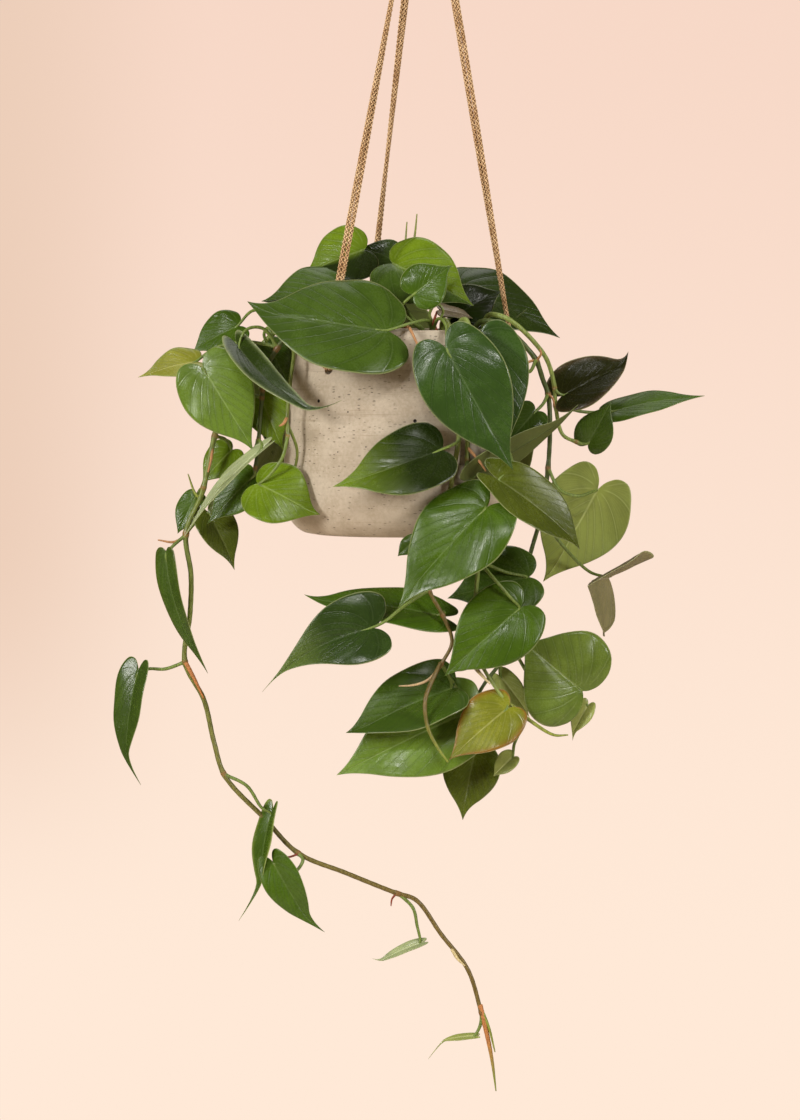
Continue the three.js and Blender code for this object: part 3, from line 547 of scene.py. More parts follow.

# %% [markdown]
# ## The cord's material
# The cord is a tan cotton or hemp braid. Its fibres give it a soft, matte, slightly uneven
# colour. Where a strand dips under another, and on the core between the strands, the colour
# is darker: painted shade. The tree stored how high each point rides as `rise`, so the
# material can read it.
#
# Fine irregular grain is wanted on more than one surface, so it is a node group with its own
# inputs: it gives a colour that wavers between two and a height for bump.

# %% A shared shader group: uneven grain
def shader_group(name, inputs, outputs):
    return node_group(name, "ShaderNodeTree", inputs, outputs)


def noise(tree, place, scale, detail=3.0, roughness=0.5):
    return added(tree, "ShaderNodeTexNoise", Vector=place, Scale=scale, Detail=detail,
                 Roughness=roughness).outputs["Fac"]


def ramp(tree, value, low, high, to_low=0.0, to_high=1.0):
    """The value, stretched from low to high and kept within to_low and to_high."""
    node = added(tree, "ShaderNodeMapRange", Value=value, From__Min=low, From__Max=high,
                 To__Min=to_low, To__Max=to_high)
    node.interpolation_type = "SMOOTHSTEP"
    return node.outputs["Result"]


def blended(tree, share, first, second):
    """Two colours, mixed. The colour plugs of a Mix node are its seventh and eighth."""
    node = tree.nodes.new("ShaderNodeMix")
    node.data_type = "RGBA"
    for plug, value in ((0, share), (6, first), (7, second)):
        put(tree, node.inputs[plug], value)
    return node.outputs[2]


def grain_group():
    tree, given, result = shader_group("uneven grain", [
        ("Place", "Vector"), ("Scale", "Float", 600.0), ("Dark", "Color"), ("Light", "Color"),
    ], [("Color", "Color"), ("Height", "Float")])
    place, scale = given["Place"], given["Scale"]
    coarse = noise(tree, place, times(tree, scale, 0.12), 2.0)
    fine = noise(tree, place, scale, 4.0, 0.65)
    both = maths(tree, "ADD", times(tree, coarse, 0.5), times(tree, fine, 0.5))
    colour = blended(tree, ramp(tree, both, 0.36, 0.64), given["Dark"], given["Light"])
    return yielding(tree, result, colour, fine)


uneven_grain = grain_group()
print("shader group:", uneven_grain.name)

# %% Starting a material
def new_material(name, roughness, metallic=0.0):
    """A material with its tree and its Principled shader."""
    made = bpy.data.materials.new(name)
    made.use_nodes = True
    shader = made.node_tree.nodes["Principled BSDF"]
    return made, made.node_tree, wire(made.node_tree, shader, Roughness=roughness,
                                      Metallic=metallic)


def placed(tree, group, **inputs):
    """The outputs of a shader group that is put into a tree."""
    node = tree.nodes.new("ShaderNodeGroup")
    node.node_tree = group
    return wire(tree, node, **inputs).outputs


def object_place(tree):
    return tree.nodes.new("ShaderNodeTexCoord").outputs["Object"]


def attribute(tree, name, output="Fac"):
    node = tree.nodes.new("ShaderNodeAttribute")
    node.attribute_name = name
    return node.outputs[output]


def bumped(tree, shader, height, distance, strength):
    bump = added(tree, "ShaderNodeBump", Height=height, Distance=distance, Strength=strength)
    tree.links.new(bump.outputs["Normal"], shader.inputs["Normal"])


def grained(name, roughness, scale, dark, light, metallic=0.0):
    """A material in two wavering colours, given as they look on a screen."""
    made, tree, shader = new_material(name, roughness, metallic)
    grain = placed(tree, uneven_grain, Place=object_place(tree), Scale=scale, Dark=srgb(*dark),
                   Light=srgb(*light))
    wire(tree, shader, Base__Color=grain["Color"])
    return made, tree, shader, grain


def cord_material():
    made, tree, shader, grain = grained("tan cord", 0.82, 900.0, (196, 154, 106), (238, 204, 156))
    # Painted shade: darker where a strand dips under another, and on the core between the strands.
    dip_shade = ramp(tree, attribute(tree, "rise"), -0.75, 0.6)
    wire(tree, shader, Base__Color=blended(tree, dip_shade, srgb(98, 62, 34), grain["Color"]))
    bumped(tree, shader, grain["Height"], 0.0002, 0.5)
    return made


tan_cord = cord_material()
print("material:", tan_cord.name)

# %% The three cords
for side, line in cord_lines.items():
    made = grown(f"braided_cord_{side}", line_object(f"line_{side}", line), braid, Skin=tan_cord)
    finished(made, "cord", f"cord_{side}")

# %% [markdown]
# ## Knots, wrap and ring
# Behind each hole the doubled cord is tied off, so it can't pull out. A trefoil line, braided
# with the same tree, makes a knot of the right size round both runs. Above the plant the six
# runs are whipped together: a thinner cord is wound in close turns round the bundle, and a
# last loop of braid holds the steel ring. The whipping follows a rule, so it is a tree again.

# %% Knots
def knot_line(azimuth):
    """A trefoil whose flat side lies against the wall."""
    out, across = radial(azimuth), radial(azimuth + 90)
    seat = POT_AXIS + out * (INNER_FACE - 6 * TOUCH_GAP - KNOT_LENGTH / 2) + UP * CORD_LEVEL
    t = np.linspace(0, 2 * math.pi, 120)
    wide = (KNOT_RADIUS - CORD_DIAMETER / 2) / 3
    deep = (KNOT_LENGTH - CORD_DIAMETER) / 2
    flat_x = np.sin(t) + 2 * np.sin(2 * t)
    flat_y = np.cos(t) - 2 * np.cos(2 * t)
    return (seat + np.outer(flat_x * wide, across) + np.outer(flat_y * wide, UP)
            + np.outer(-np.sin(3 * t) * deep, out))


for side, azimuth in CORD_AZIMUTHS.items():
    made = grown(f"tied_knot_{side}", line_object(f"knot_line_{side}", knot_line(azimuth)), braid,
                 Skin=tan_cord, Pitch=9 * MM)
    finished(made, "cord", f"knot_{side}")

# %% The whipping tree
def whipping_tree():
    tree, given, result = geometry_tree("whipping", [
        ("Turns", "Float", 12.0), ("Radius", "Float", 0.0078), ("Height", "Float", 0.0184),
        ("Cord Radius", "Float", 0.0008),
    ])
    spiral = added(tree, "GeometryNodeCurveSpiral", Resolution=36, Rotations=given["Turns"],
                   Height=given["Height"], Start__Radius=given["Radius"],
                   End__Radius=given["Radius"]).outputs[0]
    cord = realised(tree, swept(tree, spiral, given["Cord Radius"], 8))
    both = together(tree, skinned(tree, cord, given["Skin"]), given["Geometry"])
    return yielding(tree, result, both)


WHIP_CORD = 1.6
WHIP_SPACING = 1.02
CORE_RADIUS = 7.3
CORE_END_RADIUS = 6.4


def lathe_points(profile, segments, axis=(0, 0)):
    """Points and faces of a profile of (radius, height) turned round an upright axis."""
    angles = 2 * math.pi * np.arange(segments) / segments
    points, faces, rows = [], [], []
    for radius, height in profile:
        if radius < 1e-6:
            rows.append([len(points)])
            points.append((axis[0], axis[1], height))
        else:
            rows.append(list(range(len(points), len(points) + segments)))
            points += [(axis[0] + radius * math.cos(a), axis[1] + radius * math.sin(a), height)
                       for a in angles]
    for low, high in zip(rows, rows[1:]):
        for k in range(segments):
            n = (k + 1) % segments
            face = [low[k % len(low)], low[n % len(low)], high[n % len(high)], high[k % len(high)]]
            faces.append(tuple(dict.fromkeys(face)))
    return np.array(points, float), faces


def turned_into(name, whole):
    """An object from a bmesh, which is freed."""
    mesh = bpy.data.meshes.new(name)
    whole.to_mesh(mesh)
    whole.free()
    return in_scene(name, mesh)


def joined(name, *pieces):
    """One object from several that share their material slots."""
    whole = bmesh.new()
    for piece in pieces:
        whole.from_mesh(piece.data)
    made = dressed(turned_into(name, whole), *pieces[0].data.materials)
    for piece in pieces:
        bpy.data.objects.remove(piece)
    return made


half_cord = WHIP_CORD / 2
core = mesh_object("wrap_core", *lathe_points([
    (0, -half_cord), (CORE_END_RADIUS, -half_cord), (CORE_RADIUS, 0),
    (CORE_RADIUS, WRAP_HEIGHT - WHIP_CORD), (CORE_END_RADIUS, WRAP_HEIGHT - half_cord),
    (0, WRAP_HEIGHT - half_cord),
], 40))
whipping = grown("whipping", dressed(core, tan_cord), whipping_tree(), Skin=tan_cord,
                 Turns=(WRAP_HEIGHT - WHIP_CORD) / (WHIP_CORD * WHIP_SPACING),
                 Radius=(WRAP_RADIUS - half_cord) * MM, Height=(WRAP_HEIGHT - WHIP_CORD) * MM,
                 Cord__Radius=half_cord * MM)
lifted = Vector((0, 0, WRAP_TOP_Z - WRAP_HEIGHT + half_cord)) * MM
whipping.data.transform(Matrix.Translation(lifted))
print("the whipping has", triangle_count(whipping), "triangles")

# %% The loop that holds the ring
LOOP_CORD_RADIUS = 2.2
LOOP_DEPTH_IN_WRAP = 6
ring_middle = -RING_INNER_RADIUS
ring_radius = RING_INNER_RADIUS + RING_WIRE / 2
loop_radius = RING_WIRE / 2 + LOOP_CORD_RADIUS + TOUCH_GAP
loop_turn = np.linspace(math.pi, 2 * math.pi, 9)
loop_line = even_line([
    (0, -loop_radius, WRAP_TOP_Z - LOOP_DEPTH_IN_WRAP),
    *[(0, loop_radius * math.cos(a), ring_middle - ring_radius - loop_radius * math.sin(a))
      for a in loop_turn],
    (0, loop_radius, WRAP_TOP_Z - LOOP_DEPTH_IN_WRAP),
], 0.8)
loop = grown("loop", line_object("loop_line", loop_line), braid, Skin=tan_cord, Pitch=16 * MM,
             Braid__Radius=1.4 * MM, Strand__Radius=0.62 * MM, Crossing__Rise=0.2 * MM)
finished(joined("whipped_wrap", whipping, loop), "cord", "cord_wrap")

# %% The steel ring, turned from a fine brushed wire
def ring_points(radius, wire_radius, middle, turns=96, sides=24):
    angles = 2 * math.pi * np.arange(turns) / turns
    round_wire = 2 * math.pi * np.arange(sides) / sides
    points = [((radius + wire_radius * math.cos(b)) * math.cos(a), wire_radius * math.sin(b),
               middle + (radius + wire_radius * math.cos(b)) * math.sin(a))
              for a in angles for b in round_wire]
    faces = [(i * sides + k, i * sides + (k + 1) % sides,
              (i + 1) % turns * sides + (k + 1) % sides, (i + 1) % turns * sides + k)
             for i in range(turns) for k in range(sides)]
    return points, faces


def steel_material():
    made, tree, shader, grain = grained("brushed steel", 0.34, 2600.0, (176, 176, 174),
                                        (206, 205, 202), metallic=1.0)
    wire(tree, shader, Roughness=ramp(tree, grain["Height"], 0.3, 0.7, 0.26, 0.46))
    bumped(tree, shader, grain["Height"], 0.00005, 0.4)
    return made


steel_ring = mesh_object("steel_ring", *ring_points(ring_radius, RING_WIRE / 2, ring_middle))
finished(dressed(steel_ring, steel_material()), "steel", "hanger_ring")

# %% [markdown]
# ## The stoneware pot
# The pot was thrown on a wheel: a rounded bowl with a soft shoulder low down, a thin rim and
# faint rings left by the fingers. A lathe shape in code gives all of this from one list of
# radii and heights. The finger rings are small waves in the radius, so they catch the light
# as they do on the real pot. The three cord holes and the little open pits of the clay are
# cut with one Boolean, and its result is kept as a plain mesh.

# %% Profile of the thrown pot
FINGER_RINGS = ((1.05, 0.11), (0.37, 0.08))
ROUND_SWAY = 0.12


def thrown_profile():
    """Radii and heights from the middle of the foot, up outside, over the rim and down inside."""
    outer = along_curve([(r, z, 0) for r, z in POT_PROFILE], np.linspace(0, 1, 150))[:, :2]
    (close, fine), (wide, broad) = FINGER_RINGS
    rings = fine * np.sin(outer[:, 1] * close) + broad * np.sin(outer[:, 1] * wide + 1)
    fade = np.interp(-outer[:, 1], [0, 4, 60, 128, 140], [0, 1, 0.6, 0.35, 0])
    outer[:, 0] += rings * fade
    foot = [(0, -POT_HEIGHT), (POT_FOOT_RADIUS - 4, -POT_HEIGHT)]
    lip = [(69.8, 0.42), (69.0, 0.8), (67.8, 0.94), (66.2, 0.94), (65.0, 0.72), (64.2, 0.1)]
    below = np.linspace(1.5, 124, 60)
    inner = [(pot_radius(d) - POT_WALL, -d) for d in below]
    floor = [(POT_FOOT_RADIUS + 4, -131), (POT_FOOT_RADIUS - 4, -(POT_HEIGHT - POT_FLOOR)),
             (0, -(POT_HEIGHT - POT_FLOOR))]
    return foot + [tuple(p) for p in outer[::-1]] + lip + inner + floor


pot_points, pot_faces = lathe_points([(r, RIM_Z + z) for r, z in thrown_profile()], 240,
                                     (POT_X, 0))
angle = np.arctan2(pot_points[:, 1], pot_points[:, 0] - POT_X)
sway = ROUND_SWAY * np.sin(2 * angle + 0.6) * np.clip((RIM_Z - pot_points[:, 2]) / 30, 0, 1)
pot_points[:, 0] += sway * np.cos(angle)
pot_points[:, 1] += sway * np.sin(angle)
stoneware_pot = mesh_object("stoneware_pot", pot_points, pot_faces)
print("the bowl has", triangle_count(stoneware_pot), "triangles")

# %% Cutters for the cord holes and the pits
PITS = [
    ((415, 421), 1.25, 0.95), ((319, 401), 1.2, 0.9), ((348, 412), 0.55, 0.5),
    ((366, 447), 0.5, 0.5), ((352, 505), 0.45, 0.5), ((392, 470), 0.4, 0.4),
    ((338, 452), 0.5, 0.45), ((376, 520), 0.45, 0.5), ((402, 388), 0.4, 0.4),
]


def pot_front(across, down):
    """The point of the pot's front that shows at a place in the picture."""
    near, far = -POT_PROFILE[5][0] - 4.0, 0.0
    for _ in range(40):
        middle = (near + far) / 2
        x, y, z = seen((across, down, middle))
        outside = math.hypot(x - POT_X, y) > pot_radius(RIM_Z - z)
        near, far = (middle, far) if outside else (near, middle)
    return np.array(seen((across, down, near)))


def pit_centre(picture_place, size, deep):
    place = pot_front(*picture_place)
    return place + unit((place - POT_AXIS) * (1, 1, 0)) * (size - deep) * 0.4


def cutters():
    """The three drills and the pits, as one object."""
    tool = bmesh.new()
    for azimuth in CORD_AZIMUTHS.values():
        middle = radial(azimuth) * pot_radius(HOLE_BELOW_RIM) + POT_AXIS
        middle = middle + UP * (RIM_Z - HOLE_BELOW_RIM)
        turn = Vector(radial(azimuth)).to_track_quat("Z", "Y").to_matrix().to_4x4()
        bmesh.ops.create_cone(
            tool, cap_ends=True, segments=40, radius1=HOLE_RADIUS * MM, radius2=HOLE_RADIUS * MM,
            depth=3 * POT_WALL * MM, matrix=Matrix.Translation(Vector(middle) * MM) @ turn)
    for picture_place, size, deep in PITS:
        spot = Vector(pit_centre(picture_place, size, deep)) * MM
        bmesh.ops.create_icosphere(tool, subdivisions=3, radius=size * MM,
                                   matrix=Matrix.Translation(spot))
    return turned_into("cutters", tool)


tools = cutters()
drill = stoneware_pot.modifiers.new("holes", "BOOLEAN")
drill.operation = "DIFFERENCE"
drill.solver = "EXACT"
drill.object = tools
drilled = with_modifiers(stoneware_pot)
stoneware_pot.modifiers.clear()
stoneware_pot.data = drilled
bpy.data.objects.remove(tools)
stoneware_pot.data.shade_smooth()
stoneware_pot.data.set_sharp_from_angle(angle=radians(50))
corners = np.array([vertex.co for vertex in stoneware_pot.data.vertices]) / MM
in_pit = np.zeros(len(corners), dtype=bool)
for pit in PITS:
    in_pit |= np.linalg.norm(corners - pit_centre(*pit), axis=1) < pit[1] * 1.03
pit_faces = [int(in_pit[list(face.vertices)].all()) for face in stoneware_pot.data.polygons]
print("the drilled pot has", triangle_count(stoneware_pot), "triangles,", sum(pit_faces),
      "in pits")

# %% [markdown]
# ## Speckled clay
# The clay is a warm grey beige, matte, with dark specks of iron from grains too small to see
# up to a millimetre. The wheel drags some of them into short level dashes. Specks are cells of
# a Voronoi pattern, where only a few cells, picked by the cell's own random colour, show a
# dot. The same group serves two sizes of speck with different numbers. Soil uses it too.

# %% A shared shader group: scattered specks
def speck_group():
    tree, given, result = shader_group("scattered specks", [
        ("Place", "Vector"), ("Scale", "Float", 300.0), ("Size", "Float", 0.2),
        ("Share", "Float", 0.2),
    ], [("Mask", "Float")])
    cells = added(tree, "ShaderNodeTexVoronoi", Vector=given["Place"], Scale=given["Scale"],
                  Randomness=1.0).outputs
    parts = added(tree, "ShaderNodeSeparateColor", Color=cells["Color"]).outputs
    chosen = maths(tree, "LESS_THAN", parts[0], given["Share"])
    size = times(tree, given["Size"], maths(tree, "ADD", times(tree, parts[1], 0.8), 0.4))
    away = maths(tree, "DIVIDE", cells["Distance"], size)
    inside = maths(tree, "SUBTRACT", 1.0, ramp(tree, away, 0.7, 1.1))
    mask = times(tree, inside, chosen)
    return yielding(tree, result, mask)


scattered_specks = speck_group()
print("shader group:", scattered_specks.name)

# %% The stoneware material
def stretched(tree, place, scale):
    return added(tree, "ShaderNodeMapping", Vector=place, Scale=scale).outputs[0]


def stoneware_material():
    made, tree, shader, clay = grained("speckled stoneware", 0.72, 420.0, (177, 162, 140),
                                       (202, 189, 169))
    place = object_place(tree)
    cloud = ramp(tree, noise(tree, place, 16.0), 0.35, 0.7)
    colour = blended(tree, times(tree, cloud, 0.35), clay["Color"], srgb(176, 159, 135))
    wheel = noise(tree, stretched(tree, place, (0.12, 0.12, 4.0)), 130.0, 4.0, 0.7)
    rings = ramp(tree, wheel, 0.54, 0.72)
    colour = blended(tree, times(tree, rings, 0.4), colour, srgb(138, 118, 92))
    level = stretched(tree, place, (0.45, 0.45, 1.3))
    dots = placed(tree, scattered_specks, Place=level, Scale=640.0, Size=0.34, Share=0.24)
    spots = placed(tree, scattered_specks, Place=level, Scale=300.0, Size=0.16, Share=0.16)
    crowd = ramp(tree, noise(tree, place, 22.0, 2.0), 0.35, 0.6, 0.35, 1.0)
    marks = maths(tree, "MAXIMUM", times(tree, dots["Mask"], 0.66),
                  times(tree, spots["Mask"], 0.95))
    marks = times(tree, marks, crowd)
    rough = ramp(tree, clay["Height"], 0.3, 0.7, 0.62, 0.8)
    wire(tree, shader, Base__Color=blended(tree, marks, colour, srgb(58, 44, 32)),
         Roughness=rough)
    height = maths(tree, "ADD", times(tree, clay["Height"], 0.35), times(tree, marks, -0.8))
    height = maths(tree, "ADD", height, times(tree, rings, -0.35))
    bumped(tree, shader, height, 0.00018, 0.6)
    return made


stoneware_pot.data.materials.clear()
# The faces inside the pits are given a near-black colour.
pit_lining = grained("near black pit lining", 0.6, 900.0, (22, 16, 12), (58, 44, 34))[0]
dressed(stoneware_pot, stoneware_material(), pit_lining)
stoneware_pot.data.polygons.foreach_set("material_index", pit_faces)
finished(stoneware_pot, "stoneware", "ceramic_pot")

# %% [markdown]
# ## Potting soil
# The soil is a dark, loose mix with chips of bark and a few white grains. Its body is a closed
# lathe shape with an uneven top. Geometry Nodes then scatter the chips: points are spread over
# the faces that look up, each carries a small twenty-sided grain, and every grain gets its own
# size, turn and bent form from a fixed seed.

# %% The body of the soil
SOIL_ROUGHNESS = 1.5
SOIL_WALL_GAP = 0.3


def soil_body():
    inside = [(pot_radius(d) - POT_WALL - SOIL_WALL_GAP, -d) for d in np.linspace(124, 37, 24)]
    slope = [(r, -SOIL_BELOW_RIM + SOIL_CROWN * (1 - (r / 74) ** 2))
             for r in np.linspace(73, 2, 34)]
    bottom = -(POT_HEIGHT - POT_FLOOR - TOUCH_GAP)
    profile = [(0, bottom), (POT_FOOT_RADIUS - 6, bottom), *inside, *slope,
               (0, -SOIL_BELOW_RIM + SOIL_CROWN)]
    points, faces = lathe_points([(r, RIM_Z + z) for r, z in profile], 120, (POT_X, 0))
    top = points[:, 2] > RIM_Z - SOIL_BELOW_RIM - 1.2
    for i in np.flatnonzero(top):
        x, y, _ = points[i]
        coarse, fine = (lattice.noise((x * scale, y * scale, layer))
                        for scale, layer in ((0.09, 1.5), (0.3, 4)))
        points[i, 2] += (coarse + 0.6 * fine) * SOIL_ROUGHNESS
    return mesh_object("soil", points, faces)


soil = soil_body()
print("the soil has", triangle_count(soil), "triangles")

# %% The grain tree
def random_value(tree, kind, low, high, **inputs):
    """An even draw for each point. Vectors use the first two plugs, numbers the next two."""
    node = tree.nodes.new("FunctionNodeRandomValue")
    node.data_type = kind
    first = 0 if kind == "FLOAT_VECTOR" else 2
    put(tree, node.inputs[first], low)
    put(tree, node.inputs[first + 1], high)
    return wire(tree, node, **inputs).outputs[first // 2]


def grain_tree():
    tree, given, result = geometry_tree("scattered grains", [
        ("Density", "Float", 60000.0), ("Smallest", "Float", 0.5), ("Largest", "Float", 1.6),
        ("Grain Radius", "Float", 0.001), ("Seed", "Int", 3),
    ])
    body = given["Geometry"]
    normal = tree.nodes.new("GeometryNodeInputNormal").outputs[0]
    rise = added(tree, "ShaderNodeSeparateXYZ", Vector=normal).outputs[2]
    spread = added(tree, "GeometryNodeDistributePointsOnFaces", Mesh=body, Seed=given["Seed"],
                   Density=given["Density"], Selection=maths(tree, "GREATER_THAN", rise, 0.5))
    grain = added(tree, "GeometryNodeMeshIcoSphere", Radius=given["Grain Radius"],
                  Subdivisions=1)
    turn = random_value(tree, "FLOAT_VECTOR", (0, 0, 0), (6.28, 6.28, 6.28), Seed=given["Seed"])
    size = random_value(tree, "FLOAT", given["Smallest"], given["Largest"])
    grains = added(tree, "GeometryNodeInstanceOnPoints", Points=spread.outputs["Points"],
                   Instance=grain.outputs["Mesh"], Rotation=turn, Scale=size).outputs[0]
    bend = random_value(tree, "FLOAT_VECTOR", (-0.0005, -0.0005, -0.0004),
                        (0.0005, 0.0005, 0.0002))
    bent = added(tree, "GeometryNodeSetPosition", Geometry=realised(tree, grains), Offset=bend)
    both = together(tree, body, skinned(tree, bent.outputs[0], given["Skin"]))
    return yielding(tree, result, both)


def soil_material(name, dark, light):
    made, tree, shader, crumb = grained(name, 0.92, 520.0, dark, light)
    specks = placed(tree, scattered_specks, Place=object_place(tree), Scale=420.0, Size=0.3,
                    Share=0.12)
    wire(tree, shader, Base__Color=blended(tree, times(tree, specks["Mask"], 0.5),
                                           crumb["Color"], srgb(120, 92, 62)))
    bumped(tree, shader, crumb["Height"], 0.0008, 0.9)
    return made


dressed(soil, soil_material("dark soil", (34, 25, 19), (74, 56, 42)))
chips = soil_material("bark chips", (58, 38, 24), (116, 82, 54))
grits = soil_material("white grit", (150, 146, 136), (196, 192, 182))
scatter = grain_tree()
soil = grown("soil_with_bark", soil, scatter, Skin=chips)
soil = grown("filled_soil", soil, scatter, Skin=grits, Seed=11, Density=4500.0, Smallest=0.4,
             Largest=1.1)
soil.data.shade_flat()
finished(soil, "soil", "potting_soil")

# %% [markdown]
# ## How a leaf is made
# Every blade is the same flat heart, bent for its own place. A flat place on it is given as
# `across`, in parts of half the width, and `along`, in parts of the way from the joint to the
# tip. `blade_place` takes such places into space: the midrib is a shallow arc, the two halves
# fold up or down from it, the margin ripples, and the tip may hook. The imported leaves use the
# same rule with few steps. Here the steps are fine, so the outline is smooth, and the last
# fifth of the blade draws out into a drip tip, whose tail may swing aside.

# %% The outline of half a heart
HEART_HALF_WIDTH = 0.42
HALF_HEART = np.array([
    (0, 0), (0.04, -0.07), (0.13, -0.13), (0.25, -0.12), (0.35, -0.01), (0.41, 0.15),
    (0.42, 0.32), (0.37, 0.5), (0.26, 0.68), (0.13, 0.83), (0.045, 0.93), (0, 1),
])


def half_heart(shares):
    """Places on the spline through the outline's points."""
    last = len(HALF_HEART) - 1
    place = np.clip(shares, 0, 1) * last
    step = np.minimum(place.astype(int), last - 1)
    t = (place - step)[:, None]
    p0 = HALF_HEART[np.where(step == 0, step, step - 1)]
    p1, p2 = HALF_HEART[step], HALF_HEART[step + 1]
    p3 = HALF_HEART[np.minimum(step + 2, last)]
    out, into = (p2 - p0) / 2, (p3 - p1) / 2
    return between_points(p1, p2, out, into, t)


print("the widest place of the half is", round(half_heart(np.linspace(0, 1, 99))[:, 0].max(), 3))

# %% From a row of numbers to a leaf
PLAIN_SHAPE = {"fold": 10, "cup": -16, "bow": 0.05, "sway": 0, "wave": 0.03, "hook": 0,
               "lobe": 1, "taper": 0}
HOOK_START = 0.75
MARGIN_WAVES = 1.6


def looking(side, up):
    """The way that an upper face looks, in degrees from straight at the camera."""
    across, rise = radians(side), radians(up)
    return np.array([math.sin(across) * math.cos(rise), -math.cos(across) * math.cos(rise),
                     math.sin(rise)])


def in_space(place):
    """Arrays are places in space already, tuples are places in the picture."""
    return place if isinstance(place, np.ndarray) else np.array(seen(place))


def leaf_from(row, index):
    leaf = {**PLAIN_SHAPE, "phase": 1.7 * index, "number": index, **row}
    leaf["joint"], leaf["tip"] = in_space(row["base"]), in_space(row["tip"])
    leaf["look"] = looking(*row["face"])
    aside, down = row.get("tail", (0, 0))
    leaf["tail"] = (np.array([aside, 0, -down]) * PICTURE_SCALE
                    + 0.02 * (leaf["tip"] - leaf["joint"]))
    for angle_name in ("fold", "cup"):
        leaf[angle_name] = radians(leaf[angle_name])
    return leaf


def blade_place(leaf, across, along, lift):
    """Places on the bent blade. Lift, in millimetres, is along the upper face."""
    across, along, lift = (np.atleast_1d(np.asarray(v, float)) for v in (across, along, lift))
    axis = leaf["tip"] - leaf["joint"]
    length = np.linalg.norm(axis)
    axis = axis / length
    face = unit(leaf["look"] - axis * leaf["look"].dot(axis))
    right = np.cross(axis, face)
    arch = 4 * along * (1 - along)
    curl = np.maximum(along - HOOK_START, 0) / (1 - HOOK_START)
    middle = (leaf["joint"] + np.outer(along * length, axis)
              + np.outer((leaf["bow"] * arch + leaf["hook"] * curl ** 2) * length, face)
              + np.outer(leaf["sway"] * arch * length, right))
    heading = (axis + np.outer(4 * leaf["bow"] * (1 - 2 * along), face)
               + np.outer(4 * leaf["sway"] * (1 - 2 * along), right))
    heading /= np.linalg.norm(heading, axis=1)[:, None]
    normal = face - heading * (face * heading).sum(1)[:, None]
    normal /= np.linalg.norm(normal, axis=1)[:, None]
    side = np.cross(heading, normal)
    sign, share = np.sign(across), np.abs(across)
    reach = share * leaf["width"] / 2 * (1 - leaf["taper"] * along)
    angle_here = leaf["fold"] + leaf["cup"] * share / 2
    slope = leaf["fold"] + leaf["cup"] * share
    ripple = leaf["wave"] * leaf["width"] * share ** 2 * np.sin(
        2 * math.pi * MARGIN_WAVES * along + leaf["phase"] + sign)
    aside = sign * (reach * np.cos(angle_here) - lift * np.sin(slope) * share)
    rise = reach * np.sin(angle_here) + ripple + lift * np.cos(slope * share)
    drip = np.clip((along - 0.8) / 0.2, 0, 1)[:, None] ** 2
    return middle + side * aside[:, None] + normal * rise[:, None] + drip * leaf["tail"]


print("leaf rule is ready")

# %% [markdown]
# ## Veins that are part of the leaf
# A heartleaf philodendron has one midrib and a few curved veins on each side. The lowest
# start at the joint, one even runs back into the lobe, and all sweep towards the tip. Between
# them the blade swells a little, which gives the leaf its quilted shine. So the veins are
# worked out in the flat heart first: each is a curve, and `vein_number` says between which
# two curves a place lies. The swelling goes into the mesh, and the number is stored on the
# points, so the material can draw the fine veins exactly along the same lines.

# %% Vein curves on the flat heart
VEIN_STARTS = np.array([0, 0, 0.005, 0.03, 0.09, 0.2, 0.36, 0.54])
VEIN_RISE = np.array([-1.1, -0.42, 0.2, 0.85, 1.35, 1.5, 1.7, 2.0])
VEIN_SWEEP = np.array([1.2, 1.4, 1.7, 1.9, 2.2, 2.6, 3.2, 4.0])
BLADE_THICKNESS = 0.7
MARGIN_THICKNESS = 0.34
QUILT_DEPTH, SWAY_DEPTH, MIDRIB_DEPTH = 0.01, 0.014, 0.006
KEEL_WIDTH, KEEL_DEPTH = 0.9, 0.7
UPPER_SKIN, UNDER_SKIN, GREEN_SKIN, BARK_SKIN = range(4)


def vein_number(across, along):
    """Which veins a flat place lies between, and how far apart they are there."""
    x = np.abs(across) * HEART_HALF_WIDTH
    levels = VEIN_STARTS + np.outer(x, VEIN_RISE) + np.outer(x ** 2, VEIN_SWEEP)
    levels += np.arange(len(VEIN_STARTS)) * 0.004
    above = (along[:, None] >= levels).sum(1)
    low = np.clip(above - 1, 0, len(VEIN_STARTS) - 2)
    rows = np.arange(len(x))
    gap = levels[rows, low + 1] - levels[rows, low]
    number = low + (along - levels[rows, low]) / gap
    return np.clip(number, -1.5, 10), np.clip(gap, 0.01, 0.3)


trial_numbers = vein_number(np.array([0.5, 0.5, 0.9]), np.array([0.2, 0.5, 0.4]))[0]
print("three places lie at vein numbers", np.round(trial_numbers, 2))

# %% The fine blade
def blade_steps(length):
    """Rows along and columns on each half."""
    if length > 70:
        return 44, 14
    return (34, 10) if length > 34 else (22, 7)


